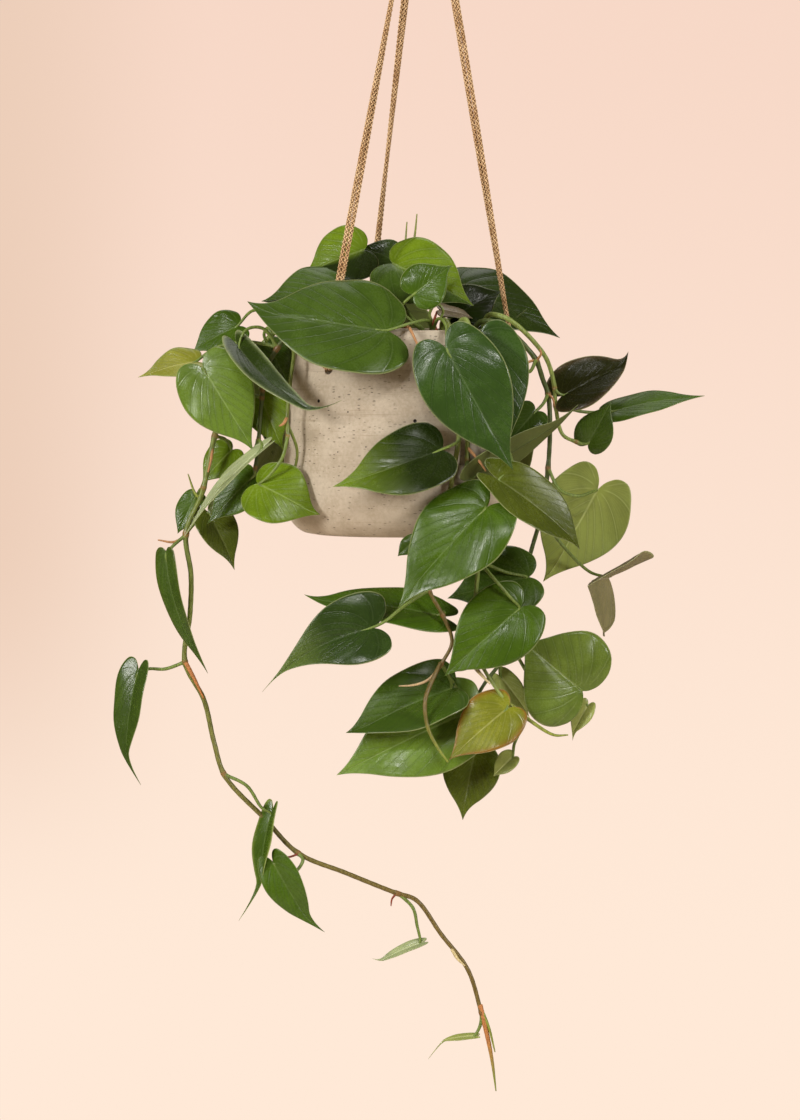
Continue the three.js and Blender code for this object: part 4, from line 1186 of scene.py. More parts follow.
def fine_blade(leaf):
    """Points, faces and point values of one closed blade."""
    length = np.linalg.norm(leaf["tip"] - leaf["joint"])
    rows, columns = blade_steps(length)
    u = np.repeat(np.arange(rows + 1) / rows, 2 * columns + 1)
    signed = np.tile(np.arange(-columns, columns + 1) / columns, rows + 1)
    share = np.abs(signed) ** 0.9
    edge = half_heart(u)
    lobe = np.where(edge[:, 1] < 0, edge[:, 1] * leaf["lobe"], edge[:, 1])
    pole = (u == 0) | (u == 1)
    across = np.where(pole, 0, np.sign(signed) * share * edge[:, 0] / HEART_HALF_WIDTH)
    along = np.where(pole, u, u ** 2 + (lobe - u ** 2) * share)
    number, gap = vein_number(across, along)
    quilt = np.abs(np.sin(math.pi * number)) ** 0.7 - 0.5
    inner = np.clip(share / 0.12, 0, 1) * np.clip((1 - share) / 0.2, 0.25, 1)
    ends = np.clip(along / 0.06 + 1.2, 0.2, 1) * np.clip((1 - along) / 0.2, 0, 1)
    spacing = gap * length * min(leaf["width"] / 24, 1)
    roomy = np.clip((spacing - 3) / 5, 0, 1)
    relief = quilt * roomy * inner * ends * leaf["width"] * QUILT_DEPTH
    sway = np.sin(2 * math.pi * 0.8 * along + 2.1 * leaf["number"] + np.sign(across))
    relief = relief + SWAY_DEPTH * leaf["width"] * share ** 2 * ends * sway
    relief = relief - np.exp(-(share / 0.05) ** 2) * MIDRIB_DEPTH * leaf["width"] * ends
    thick = BLADE_THICKNESS + (MARGIN_THICKNESS - BLADE_THICKNESS) * share ** 4
    from_midrib = np.abs(across) * leaf["width"] / 2
    keel = np.exp(-(from_midrib / KEEL_WIDTH) ** 2) * KEEL_DEPTH * (1 - along) ** 0.7
    upper = blade_place(leaf, across, along, relief + thick / 2)
    under = blade_place(leaf, across, along, relief - thick / 2 - np.where(pole, 0, keel))
    width = 2 * columns + 1
    grid = np.arange((rows + 1) * width).reshape(rows + 1, width)
    grid[0, :], grid[-1, :] = grid[0, 0], grid[-1, 0]
    below = len(u)
    faces, skins = [], []
    for i in range(rows):
        for k in range(2 * columns):
            a, b, c, d = grid[i, k], grid[i, k + 1], grid[i + 1, k + 1], grid[i + 1, k]
            quad = tuple(dict.fromkeys((int(a), int(b), int(c), int(d))))
            faces += [quad, tuple(v + below for v in quad[::-1])]
            skins += [UPPER_SKIN, UNDER_SKIN]
        for left, order in ((grid[:, 0], 1), (grid[:, -1], -1)):
            a, b = int(left[i]), int(left[i + 1])
            faces.append((a, b, b + below, a + below)[::order])
            skins.append(UPPER_SKIN)
    values = {
        "vein": np.tile(number, 2), "gap": np.tile(spacing, 2),
        "aside": np.tile(from_midrib, 2), "share": np.tile(share, 2),
        "u": np.tile(0.5 + across * HEART_HALF_WIDTH, 2), "v": np.tile(along, 2),
        "half": np.tile(signed, 2),
    }
    return np.vstack([upper, under]), faces, skins, values


trial_leaf = leaf_from({"base": (387, 328, -80), "tip": (251, 311, -72), "width": 74,
                        "face": (-5, 36)}, 0)
trial_blade = fine_blade(trial_leaf)
print("a large blade has", len(trial_blade[1]), "faces")

# %% [markdown]
# ## The tones of the leaves
# The leaves of one plant differ: old ones are deep green, young ones yellow green, shaded ones
# cooler, and a few have a bronze cast. The tone "shade", and the darker tone that one half of
# a blade may have, are painted shade for leaves that lie in the shadow of others. Each row of
# the tables further down names its tone. The colour is stored on the points as `tone`, so one
# material can serve all leaves.

# %% Tones
TONES = {name: srgb(*colour) for name, colour in {
    "deep": (42, 60, 16), "mid": (60, 84, 24), "fresh": (98, 124, 24), "olive": (76, 88, 24),
    "cool": (44, 64, 24), "light": (140, 156, 72), "bright": (64, 92, 18),
    "pale": (142, 152, 82), "bronze": (120, 126, 36), "grey": (128, 116, 92),
    "matte": (100, 122, 48), "yellow": (144, 148, 52), "umber": (34, 38, 8),
    "silver": (150, 162, 116), "rust": (150, 84, 34),
    "brown": (84, 68, 44), "shade": (30, 44, 10), "forest": (50, 76, 28),
    "soft": (96, 124, 44), "moss": (100, 120, 56), "stem": (112, 126, 52),
    "light stem": (134, 150, 74), "dark stem": (74, 88, 38), "brown stem": (110, 92, 40),
    "petiole": (112, 132, 56), "shoot": (136, 146, 54), "root": (190, 138, 90),
    "pale root": (206, 176, 132), "sheath": (186, 122, 66), "red sheath": (136, 58, 36),
    "cream": (208, 190, 140),
}.items()}
BARK = ("root", "pale root", "sheath", "red sheath", "cream")
print(len(TONES), "tones")

# %% [markdown]
# ## Stems, petioles and roots
# A stem runs along its own line and gets thinner to its tip. Where a leaf grows from it there
# is a node: a slight swelling with a ring scar. Petioles leave the stem at a node, widen there
# into a short sheath and run on into the midrib. Aerial roots are short, blunt and orange
# brown. All are tubes along a smooth line, so one helper makes them, with the swelling given
# as a radius for each ring.

# %% Smooth routes with their shares
def fine_route(points, step):
    """Places about one step apart, and the share of the control points passed at each."""
    points = np.array([in_space(p) for p in points], float)
    last = len(points) - 1
    spans = np.linalg.norm(np.diff(points, axis=0), axis=1)
    shares = [np.linspace(i, i + 1, max(int(span / step), 2), endpoint=False)
              for i, span in enumerate(spans)]
    shares = np.append(np.concatenate(shares), last) / last
    return along_curve(points, shares), shares


STEM_RADIUS = 1.9
PETIOLE_RADIUS = 1.25
PETIOLE_TIP_RADIUS = 0.62
NODE_SWELLING = 0.34
NODE_LENGTH = 2.2
NODE_REACH = 6
STEM_HOLE_DEPTH = 20
SOIL_TOP = RIM_Z - SOIL_BELOW_RIM + SOIL_CROWN


def standing(x, y):
    """Where a stem stands in the soil, from the pot's axis, and its first way up."""
    return [np.array([POT_X + x, y, SOIL_TOP + z])
            for z in (2 + TOUCH_GAP - STEM_HOLE_DEPTH, -2, 8)]


def limb_part(points, radius, tip_radius, tone, step=2.0, sides=10, nodes=(), end_tone=None):
    """A round limb as points, faces, skins, tones and point values."""
    line, shares = fine_route(points, step)
    radii = radius + (tip_radius - radius) * shares ** 2
    near = np.zeros(len(line))
    for node in nodes:
        distance = np.linalg.norm(line - node, axis=1)
        if distance.min() < NODE_REACH:
            near = np.maximum(near, np.exp(-(distance / NODE_LENGTH) ** 2))
    radii = radii * (1 + NODE_SWELLING * near)
    radii = radii * (1 + 0.03 * np.sin(np.arange(len(line)) * 1.7))
    places, faces = tube(line, radii, sides)

    def spread(values):
        """Values for each ring, given to all points of the ring and to the two ends."""
        return np.concatenate([np.repeat(values, sides), values[[0, -1]]])

    first, last = np.array(TONES[tone]), np.array(TONES[end_tone or tone])
    change = np.clip((spread(shares) - 0.45) / 0.4, 0, 1)[:, None]
    skin = BARK_SKIN if tone in BARK else GREEN_SKIN
    return {"points": places, "faces": faces, "skins": [skin] * len(faces),
            "tone": first + (last - first) * change,
            "values": {"node": spread(near), "v": spread(shares)}}


print("soil top is at", SOIL_TOP)

# %% Putting a leafy stem together
def plant_object(name, parts):
    """One mesh from parts, with their values stored on its points."""
    points = np.vstack([part["points"] for part in parts])
    faces, skins, tones = [], [], []
    values = {key: [] for key in ("vein", "gap", "aside", "share", "node", "u", "v")}
    start = 0
    for part in parts:
        count = len(part["points"])
        faces += [tuple(v + start for v in face) for face in part["faces"]]
        skins += part["skins"]
        tones.append(np.broadcast_to(part["tone"], (count, 4)))
        for key, kept in values.items():
            kept.append(part["values"].get(key, np.zeros(count)))
        start += count
    made = mesh_object(name, points, faces)
    mesh = made.data
    mesh.polygons.foreach_set("material_index", skins)
    stored = {key: np.concatenate(kept) for key, kept in values.items()}
    for key in ("vein", "gap", "aside", "share", "node"):
        mesh.attributes.new(key, "FLOAT", "POINT").data.foreach_set("value", stored[key])
    tone = mesh.attributes.new("tone", "FLOAT_COLOR", "POINT")
    tone.data.foreach_set("color", np.vstack(tones).ravel())
    chart = mesh.uv_layers.new(name="leaf chart")
    corner = np.zeros(len(mesh.loops), dtype=np.int32)
    mesh.loops.foreach_get("vertex_index", corner)
    chart.uv.foreach_set("vector", np.column_stack([stored["u"], stored["v"]])[corner].ravel())
    return made


def blade_tones(row, values):
    """The tone of each point: one half, the rim and the end may have their own. The
    tone of one half is painted shade, for a half that another leaf shades.
    """
    tone = np.broadcast_to(TONES[row["tone"]], (len(values["half"]), 4))
    sign, *other = row.get("half", (0,))
    # The half mask spreads painted shade over one side of the midrib.
    places = {"half": np.clip(values["half"] * sign / 0.3 + 0.4, 0, 1),
              "rim": np.clip((values["share"] - 0.7) / 0.3, 0, 1) ** 2 * 0.85,
              "end": np.clip((values["v"] - 0.35) / 0.6, 0, 1)}
    for place, share in places.items():
        if place in row:
            name = other[0] if place == "half" else row[place]
            tone = tone + (np.array(TONES[name]) - tone) * share[:, None]
    return tone


def leaf_parts(row, index):
    """The blade of a leaf and the petiole that carries it."""
    leaf = leaf_from(row, index)
    points, faces, skins, values = fine_blade(leaf)
    route = [in_space(p) for p in row["petiole"]] + [blade_place(leaf, 0, 0.02, 0)[0],
                                                     blade_place(leaf, 0, 0.09, -0.5)[0]]
    petiole = limb_part(route, PETIOLE_RADIUS, PETIOLE_TIP_RADIUS, "petiole", step=1.6,
                        sides=9, nodes=[route[0]])
    return [{"points": points, "faces": faces, "skins": skins, "tone": blade_tones(row, values),
             "values": values}, petiole]


def leafy_piece(name, route, leaves, branches=(), stem_tip=1.2, stem_tone="stem", end_tone=None):
    """A whole leafy stem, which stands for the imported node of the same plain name."""
    nodes = [in_space(row["petiole"][0]) for row in leaves]
    parts = [limb_part(route, STEM_RADIUS, stem_tip, stem_tone, nodes=nodes, sides=12,
                       end_tone=end_tone)]
    for way, radius, tip_radius, *tones in branches:
        parts.append(limb_part(way, radius, tip_radius, tones[0], step=1.2, end_tone=tones[-1]))
    for index, row in enumerate(leaves):
        parts += leaf_parts(row, index)
    return finished(dressed(plant_object("leafy_" + name, parts), *plant_skins), "leaf", name)


def leaf(base, tip, width, face, petiole, tone, **shape):
    return {"base": base, "tip": tip, "width": width, "face": face, "petiole": petiole,
            "tone": tone, **shape}


print("leafy stems can be made")

# %% [markdown]
# ## The look of the leaves
# The upper side is waxy: smooth enough for broad, soft highlights, broken along the veins. The
# underside is paler and matte, and its veins stand out. Both draw the same veins, so the
# drawing is one shader group, which puts out masks and a height. One mask lies beside the main
# veins, where the blade dips between its swellings, and darkens the colour there: painted
# shade. The margin of the blade is a hair thin, pale line.

# %% A shared shader group: leaf veins
def vein_group():
    tree, given, result = shader_group("leaf veins", [
        ("Vein", "Float"), ("Gap", "Float", 10.0), ("Aside", "Float", 5.0),
        ("Along", "Float", 0.5),
    ], [(name, "Float") for name in ("Main", "Fine", "Rib", "Valley", "Height")])
    gap = given["Gap"]

    def off_line(count):
        """How far, in millimetres, a point is from the nearest of so many lines a gap."""
        shifted = maths(tree, "FRACT", maths(tree, "MULTIPLY_ADD", given["Vein"], count, 0.5))
        away = maths(tree, "ABSOLUTE", maths(tree, "SUBTRACT", shifted, 0.5))
        return maths(tree, "DIVIDE", times(tree, away, gap), count)

    main = ramp(tree, off_line(1.0), 0.1, 0.9, 1.0, 0.0)
    roomy = ramp(tree, gap, 3.0, 8.0)
    fine = times(tree, ramp(tree, off_line(7.0), 0.03, 0.3, 1.0, 0.0), roomy)
    main = times(tree, main, ramp(tree, gap, 2.0, 5.0))
    # Painted shade in the hollows beside the main veins, where the blade dips between swellings.
    valley_shade = times(tree, ramp(tree, off_line(1.0), 0.4, 3.4, 1.0, 0.0), roomy)
    wide = maths(tree, "MULTIPLY_ADD", given["Along"], -0.9, 1.25)
    rib = ramp(tree, maths(tree, "DIVIDE", given["Aside"], wide), 0.25, 1.0, 1.0, 0.0)
    height = maths(tree, "MULTIPLY_ADD", main, -0.5, times(tree, fine, -0.18))
    height = maths(tree, "MULTIPLY_ADD", rib, -0.9, height)
    return yielding(tree, result, main, fine, rib, valley_shade, height)


leaf_veins = vein_group()
print("shader group:", leaf_veins.name)

# %% Leaf materials
def veins_of(tree):
    chart = tree.nodes.new("ShaderNodeUVMap")
    chart.uv_map = "leaf chart"
    along = added(tree, "ShaderNodeSeparateXYZ", Vector=chart.outputs[0]).outputs[1]
    return placed(tree, leaf_veins, Vein=attribute(tree, "vein"), Gap=attribute(tree, "gap"),
                  Aside=attribute(tree, "aside"), Along=along)


def toned(tree, colour, hue=0.5, saturation=1.0, value=1.0):
    return added(tree, "ShaderNodeHueSaturation", Color=colour, Hue=hue,
                 Saturation=saturation, Value=value).outputs[0]


def leaf_material(name, under=False):
    made, tree, shader = new_material(name, 0.34)
    place, tone = object_place(tree), attribute(tree, "tone", "Color")
    veins = veins_of(tree)
    patches = ramp(tree, noise(tree, place, 42.0, 3.0, 0.6), 0.34, 0.66)
    base = blended(tree, patches, toned(tree, tone, value=0.84),
                   toned(tree, tone, 0.495, 1.02, 1.16))
    fleck = ramp(tree, noise(tree, place, 700.0, 3.0, 0.7), 0.35, 0.65)
    base = blended(tree, times(tree, fleck, 0.12), base, toned(tree, tone, 0.49, 0.95, 1.45))
    # The leaf is darker in the hollows beside the main veins: painted shade.
    base = blended(tree, times(tree, veins["Valley"], 0.5), base,
                   toned(tree, tone, 0.505, 1.05, 0.62))
    if under:
        base = blended(tree, 0.35, base, srgb(140, 146, 82))
    lines = maths(tree, "MAXIMUM", times(tree, veins["Main"], 0.26),
                  times(tree, veins["Fine"], 0.10))
    lines = maths(tree, "MAXIMUM", lines, times(tree, veins["Rib"], 0.55))
    base = blended(tree, lines, base, toned(tree, tone, 0.485, 0.78, 1.9))
    margin = ramp(tree, attribute(tree, "share"), 0.968, 0.992)
    base = blended(tree, times(tree, margin, 0.5), base, srgb(176, 184, 128))
    gloss = maths(tree, "MULTIPLY_ADD", fleck, 0.5, times(tree, patches, 0.5))
    smoothest, roughest = (0.44, 0.6) if under else (0.18, 0.3)
    skin = maths(tree, "MULTIPLY_ADD", fleck, 0.12, veins["Height"])
    if under:
        skin = times(tree, skin, -1.2)
    bumped(tree, shader, skin, 0.00025, 0.5)
    wire(tree, shader, Base__Color=base, IOR=1.46, Subsurface__Weight=0.03,
         Roughness=ramp(tree, gloss, 0.2, 0.8, smoothest, roughest),
         Subsurface__Radius=(0.6, 1.0, 0.1), Subsurface__Scale=0.0012,
         Specular__IOR__Level=0.25 if under else 0.36)
    return made


def limb_material(name, roughness, streak, node_colour):
    made, tree, shader = new_material(name, roughness)
    place, tone = object_place(tree), attribute(tree, "tone", "Color")
    streaks = ramp(tree, noise(tree, stretched(tree, place, (1.0, 1.0, 0.18)), streak), 0.35,
                   0.65)
    base = blended(tree, streaks, toned(tree, tone, value=0.76),
                   toned(tree, tone, 0.5, 1.0, 1.2))
    cloud = ramp(tree, noise(tree, place, 30.0, 2.0), 0.4, 0.7)
    base = blended(tree, times(tree, cloud, 0.3), base, toned(tree, tone, 0.495, 0.9, 0.8))
    scar = ramp(tree, attribute(tree, "node"), 0.35, 0.95)
    wire(tree, shader, Base__Color=blended(tree, times(tree, scar, 0.6), base, node_colour),
         Roughness=ramp(tree, streaks, 0.0, 1.0, roughness - 0.06, roughness + 0.08))
    bumped(tree, shader, streaks, 0.0002, 0.5)
    return made


plant_skins = [
    leaf_material("waxy leaf"), leaf_material("matte underside", under=True),
    limb_material("green stem", 0.42, 900.0, srgb(150, 100, 58)),
    limb_material("root bark", 0.66, 1400.0, srgb(120, 64, 34)),
]
print("plant materials:", [skin.name for skin in plant_skins])

# %% [markdown]
# ## The leafy stems, one by one
# Each stem below is a table. Its line starts in the soil and goes over the rim. Each leaf
# row gives the picture place and depth of its joint and tip, its width in millimetres, the
# way its upper face looks, the line of its petiole and its tone. A last few words bend a
# blade that differs from the plain shape.

# %% [markdown]
# The crown is what stands above the rim. At its back left one short stem carries a fresh green
# leaf behind the left cord, a darker one that leans out to the left, a small deep green one
# and two thin young shoots.

# %% Short stem at the back left of the crown
leafy_piece("crown_back", [*standing(-22, 8), (372, 345, 8), (371, 328, 8)], [
    leaf((364, 250, 8), (308, 273, 2), 46, (-10, 25), [(371, 335, 8), (374, 300, 10),
         (369, 268, 9)], "fresh", tail=(-3, 1), half=(-1, "shade")),
    leaf((345, 290, -10), (267, 303, -22), 48, (-15, 35), [(372, 340, 8), (360, 308, 0)], "mid",
         tail=(-4, -2), half=(-1, "shade")),
    leaf((398, 262, 24), (362, 247, 26), 26, (0, 20), [(371, 332, 8), (385, 300, 20),
         (396, 278, 24)], "deep"),
], branches=[
    ([(371, 335, 8), (388, 300, 10), (404, 250, 10), (407, 222, 10)], 1.2, 0.4, "shoot"),
    ([(388, 300, 10), (406, 270, 5), (414, 240, 4), (417, 214, 4)], 1.2, 0.4, "shoot"),
])

# %% [markdown]
# The front stem of the crown carries two of the longest leaves: one lies over the rim to the
# left, and one hangs in front of the pot with its tip down. Two smaller ones fill the middle.

# %% Short stem at the front of the crown
leafy_piece("crown_front", [*standing(18, -24), (430, 345, -38), (432, 330, -44)], [
    leaf((388, 331, -80), (251, 311, -72), 78, (-5, 36), [(432, 333, -43), (428, 321, -58),
         (412, 323, -72)], "mid", bow=0.07, fold=6, sway=-0.045, tail=(-1, -9)),
    # Painted shade: the half of this leaf in "mid" is the half that the leaves beside it shade.
    leaf((393, 264, -20), (468, 303, -42), 56, (5, 30), [(431, 338, -41), (408, 312, -30),
         (392, 278, -22)], "fresh", tail=(4, 2), half=(1, "mid")),
    leaf((414, 294, -60), (448, 268, -54), 34, (0, 15), [(431, 336, -42), (412, 322, -52),
         (401, 308, -58)], "bright", tail=(3, -2)),
    leaf((446, 348, -95), (509, 463, -97), 61, (-5, 12), [(432, 333, -43), (438, 319, -60),
         (446, 326, -82)], "forest", bow=0.05, tail=(3, 5)),
], branches=[
    ([(437, 334, -44), (434, 323, -48), (437, 311, -50)], 1.5, 0.5, "red sheath"),
    ([(404, 327, -61), (409, 327.5, -71), (415, 339, -79), (421, 352, -79.5)], 1.1, 0.5, "root"),
    ([(432, 330, -44), (430, 312, -50), (437, 304, -53), (443, 310, -53), (440, 320, -50)], 1.1,
     0.8, "light stem"),
])

# %% [markdown]
# Dark leaves close the crown at the right, behind the cord.

# %% Short stem at the right of the crown
leafy_piece("crown_right", [*standing(36, 12), (452, 345, 10), (455, 332, 10)], [
    leaf((460, 287, 22), (553, 335, 24), 52, (8, 46), [(455, 335, 10), (456, 310, 16)], "deep",
         tail=(5, 2)),
    leaf((452, 318, 0), (500, 292, 0), 40, (0, 30), [(455, 336, 10), (450, 328, 4)], "shade"),
    leaf((441, 310, -6), (475, 319, -5), 26, (0, 68), [(455, 338, 10), (444, 322, 0)], "grey",
         rim="brown"),
], branches=[
    ([(455, 335, 10), (485, 326, 14), (512, 320, 16), (527, 309, 16)], 1.2, 0.4, "dark stem"),
])

# %% [markdown]
# The longest stem leaves the pot at the left and hangs far below it, with long gaps between
# its leaves, as a stem does that looks for light. It ends in a growing tip in its sheath.

# %% The long trailing stem
leafy_piece("vine_long", [*standing(-44, 2), (320, 326, -3), (303, 320, -5), (285, 325, -5),
             (262, 345, -2), (240, 375, 0), (222, 410, -4), (213, 443, -10), (202, 493, -14),
             (186, 533, -16), (191, 575, -16), (190, 614, -16), (185, 662, -16), (204, 700, -16),
             (214, 742, -18), (225, 776, -20), (265, 819, -22), (298, 853, -24), (346, 873, -26),
             (396, 893, -28), (416, 900, -28), (441, 934, -28), (468, 970, -30),
             (482, 1015, -30)], [
    leaf((232, 450, 2), (203, 482, 0), 28, (-10, 30), [(215, 436, -9), (226, 440, -2)], "fresh"),
    leaf((196, 497, -2), (178, 533, -4), 20, (-10, 20), [(203, 488, -14), (200, 490, -6)],
         "bright"),
    leaf((208, 512, -10), (233, 565, -16), 30, (10, 30), [(186, 533, -16), (198, 520, -13)],
         "olive", fold=22, tail=(1, 4)),
    leaf((166, 552, -20), (206, 666, -22), 20, (-48, 15), [(186, 535, -16), (174, 545, -19)],
         "mid", fold=16, sway=0.05, tail=(1, 5), rim="olive", lobe=0.3),
    leaf((138, 672, -14), (126, 768, -12), 32, (-40, 10), [(185, 662, -16), (165, 669, -15),
         (148, 669, -14)], "mid", fold=24, hook=0.03, tail=(17, 15), taper=0.3),
    leaf((272, 812, -26), (261, 897, -24), 20, (-50, 10), [(224, 774, -20), (247, 786, -24),
         (262, 808, -26)], "bright", fold=26, tail=(-22, 22), rim="light stem"),
    leaf((273, 862, -30), (312, 926, -30), 28, (-25, 15), [(298, 853, -24), (303, 860, -28),
         (294, 872, -31), (281, 866, -31)], "bright", fold=20, tail=(12, 5)),
    leaf((421, 943, -30), (376, 964, -30), 9, (0, 45), [(398, 893, -28), (413, 908, -29),
         (417, 925, -30)], "silver", fold=24, tail=(-3, -6)),
    leaf((475, 1036, -30), (438, 1042, -30), 6, (0, 45), [(482, 1013, -30), (480, 1026, -30)],
         "pale", fold=16, tail=(-9, 17)),
], branches=[
    ([(480, 1005, -30), (486, 1030, -30), (492, 1060, -30), (496, 1091, -30)], 1.9, 0.4, "sheath",
     "shoot"),
    ([(481, 1008, -30), (489, 1028, -31), (495, 1052, -32)], 1.2, 0.4, "shoot"),
    ([(213, 443, -10), (211, 460, -14), (208, 472, -17)], 1.1, 0.5, "root"),
    ([(186, 536, -16), (174, 542, -18), (158, 540, -19)], 1.1, 0.5, "root"),
    ([(202, 500, -14), (195, 493, -8), (188, 474, -6)], 1.1, 0.4, "shoot"),
    ([(186, 663, -18), (195, 680, -20), (204, 699, -19)], 1.5, 0.5, "sheath"),
    ([(298, 854, -25), (289, 857, -27), (280, 856, -28)], 0.8, 0.4, "red sheath"),
    ([(396, 894, -28), (392, 899, -30), (391, 906, -30)], 0.8, 0.4, "red sheath"),
    ([(452, 949, -29), (457, 958, -31), (465, 966, -32)], 1.3, 0.4, "cream"),
], stem_tip=1.5, end_tone="brown stem")

# %% [markdown]
# A shorter stem carries a dense bunch of leaves beside the pot: a round soft green one, a
# folded yellow green one, and long narrow pale ones that show their edge.

# %% The bunch at the left of the pot
leafy_piece("vine_left", [*standing(-40, -18), (322, 325, -22), (307, 320, -25), (293, 329, -28),
             (276, 350, -28), (265, 375, -28), (262, 398, -28), (258, 446, -30),
             (255, 470, -30)], [
    leaf((238, 346, -38), (328, 421, -88), 23, (-25, 45), [(278, 347, -28), (262, 328, -34),
         (246, 330, -38)], "deep", fold=24, sway=0.07, hook=0.05, tail=(13, -18), taper=0.4,
         rim="silver"),
    leaf((203, 368, -32), (251, 445, -36), 52, (-8, 10), [(262, 398, -28), (236, 388, -20),
         (208, 373, -24)], "soft", cup=-24, tail=(1, 4)),
    leaf((196, 362, -14), (145, 376, -18), 27, (-10, 40), [(278, 347, -28), (247, 342, -18),
         (215, 348, -12)], "yellow", fold=20, tail=(-6, 1), rim="pale"),
    leaf((238, 326, 10), (194, 350, 8), 32, (-15, 20), [(293, 329, -28), (274, 314, -14),
         (252, 311, 4)], "bright", tail=(-1, 4)),
    leaf((268, 345, -14), (287, 383, -18), 26, (15, 20), [(276, 350, -28), (268, 328, -22),
         (264, 335, -16)], "mid"),
    leaf((261, 397, -19), (281, 446, -27), 30, (-10, 20), [(262, 390, -28), (260, 388, -20)],
         "fresh", tail=(2, 3)),
    leaf((258, 484, -54), (315, 515, -68), 48, (0, 25), [(288, 435, -58), (282, 458, -58),
         (267, 478, -56)], "fresh", fold=-12, cup=20, tail=(4, -1)),
    leaf((252, 478, -26), (212, 520, -24), 32, (-10, 25), [(255, 468, -30), (255, 474, -28)],
         "bright", tail=(-4, 3)),
    leaf((262, 449, -38), (188, 531, -40), 12, (-40, 35), [(258, 440, -30), (262, 444, -36)],
         "silver", fold=24, cup=0, tail=(-3, 5), rim="silver"),
    leaf((250, 455, -34), (203, 506, -40), 8, (-30, 35), [(258, 440, -30), (256, 446, -33)],
         "silver", fold=20, tail=(-2, 2)),
], branches=[
    ([(293, 329, -28), (294, 352, -45), (290, 385, -54), (287, 420, -56), (288, 437, -58)], 1.4,
     1.2, "stem"),
    ([(288, 425, -56), (297, 450, -52), (294, 470, -48), (284, 484, -46)], 1.1, 0.8, "stem"),
    ([(287, 418, -56), (283, 424, -59), (279, 426, -60)], 1.2, 0.4, "root"),
], stem_tone="dark stem")

# %% [markdown]
# The front stem falls over the rim. Its leaves overlap below the pot.

# %% Front stem over the middle of the rim
leafy_piece("vine_front", [*standing(30, -42), (442, 325, -46), (446, 321, -60), (454, 340, -74),
             (457, 370, -77), (459, 405, -78), (459, 437, -79), (454, 466, -80), (447, 496, -81),
             (428, 510, -82), (419, 531, -82), (421, 560, -80), (429, 590, -78), (444, 618, -78),
             (452, 642, -78), (441, 665, -78)], [
    # This leaf lies in the shadow of the large leaf above it: its tone "shade" is painted shade,
    # turning lighter towards its lit tip.
    leaf((441, 450, -93), (342, 485, -98), 52, (-20, 22), [(459, 432, -79), (459, 441, -88)],
         "shade", sway=-0.03, tail=(-7, 1), lobe=0.55, end="fresh"),
    leaf((415, 540, -88), (398, 556, -88), 13, (0, 20), [(419, 531, -82), (418, 536, -86)], "mid"),
    leaf((372, 628, -90), (268, 684, -84), 62, (-10, 20), [(429, 590, -78), (404, 606, -86),
         (384, 622, -90)], "cool", fold=24, sway=0.06, taper=0.95, tail=(-4, 7), end="moss"),
    leaf((440, 616, -70), (305, 602, -76), 36, (0, 46), [(442, 616, -78), (444, 612, -73)],
         "bright", tail=(2, -7)),
    leaf((453, 688, -66), (349, 736, -78), 52, (-15, 30), [(441, 664, -78), (448, 674, -72)],
         "mid", fold=22, lobe=0.5, tail=(-1, -4)),
    leaf((468, 712, -60), (342, 773, -70), 64, (-5, 14), [(441, 664, -78), (458, 692, -60)],
         "soft", tail=(-3, 1)),
], branches=[
    ([(441, 663, -78), (431, 683, -84), (425, 702, -90), (428, 728, -92), (438, 748, -92),
     (448, 762, -90)], 1.6, 0.7, "brown stem", "shoot"),
    ([(441, 666, -78), (428, 680, -80), (414, 685, -81), (399, 686, -82)], 1.1, 0.4, "pale root"),
    ([(454, 464, -80), (440, 478, -97), (427, 490, -99)], 1.2, 0.4, "brown stem", "shoot"),
], end_tone="brown stem")

# %% [markdown]
# Beside the first, a second front stem carries a deep green and an olive leaf that stick out
# to the right, and bright ones below the pot.

# %% Second front stem
leafy_piece("vine_middle", [*standing(44, -30), (459, 325, -41), (466, 320, -53), (472, 342, -66),
             (471, 370, -70), (471, 400, -72), (468, 437, -72), (468, 467, -73), (475, 494, -74),
             (480, 530, -72), (478, 570, -68), (474, 615, -66), (473, 645, -68), (485, 671, -74),
             (507, 704, -72)], [
    leaf((468, 480, -78), (573, 415, -60), 27, (170, 45), [(468, 460, -73), (466, 469, -77)],
         "deep", sway=-0.04, lobe=0.5, tail=(3, -9)),
    leaf((497, 479, -90), (580, 546, -78), 37, (0, 40), [(471, 402, -72), (494, 428, -72),
         (509, 452, -76), (512, 467, -85)], "olive", fold=24, tail=(-2, 2), lobe=1.3, taper=-0.45),
    leaf((487, 507, -96), (403, 600, -104), 62, (-10, 22), [(475, 492, -74), (483, 498, -88)],
         "bright", tail=(-3, 6)),
    leaf((529, 577, -54), (452, 597, -56), 50, (-5, 22), [(478, 560, -69), (505, 572, -58)],
         "mid", tail=(-3, 1)),
    leaf((521, 607, -78), (448, 672, -86), 54, (8, 15), [(478, 560, -69), (490, 574, -82),
         (510, 597, -82)], "bright", tail=(-2, 3)),
    leaf((466, 657, -50), (453, 672, -50), 14, (0, 15), [(473, 642, -68), (471, 650, -56)], "mid"),
    leaf((508, 708, -76), (452, 757, -86), 42, (-5, 20), [(505, 700, -72), (507, 704, -74)],
         "bronze", tail=(-2, 2), rim="rust"),
    leaf((513, 757, -62), (494, 776, -62), 16, (0, 30), [(506, 702, -72), (522, 722, -64),
         (514, 745, -61)], "pale", fold=26),
], branches=[
    ([(468, 448, -73), (479, 461, -78), (486, 471, -80)], 1.1, 0.5, "root"),
    ([(507, 702, -72), (532, 722, -76), (554, 735, -78), (568, 735, -78)], 1.4, 0.5, "shoot"),
    ([(470, 661, -72), (478, 671, -78), (490, 684, -79)], 1.7, 0.5, "cream"),
], stem_tone="light stem")

# %% [markdown]
# The dark stem at the right reaches down to the lower bunch. One of its leaves turns its pale
# underside to the camera, and one is folded and seen along its edge.

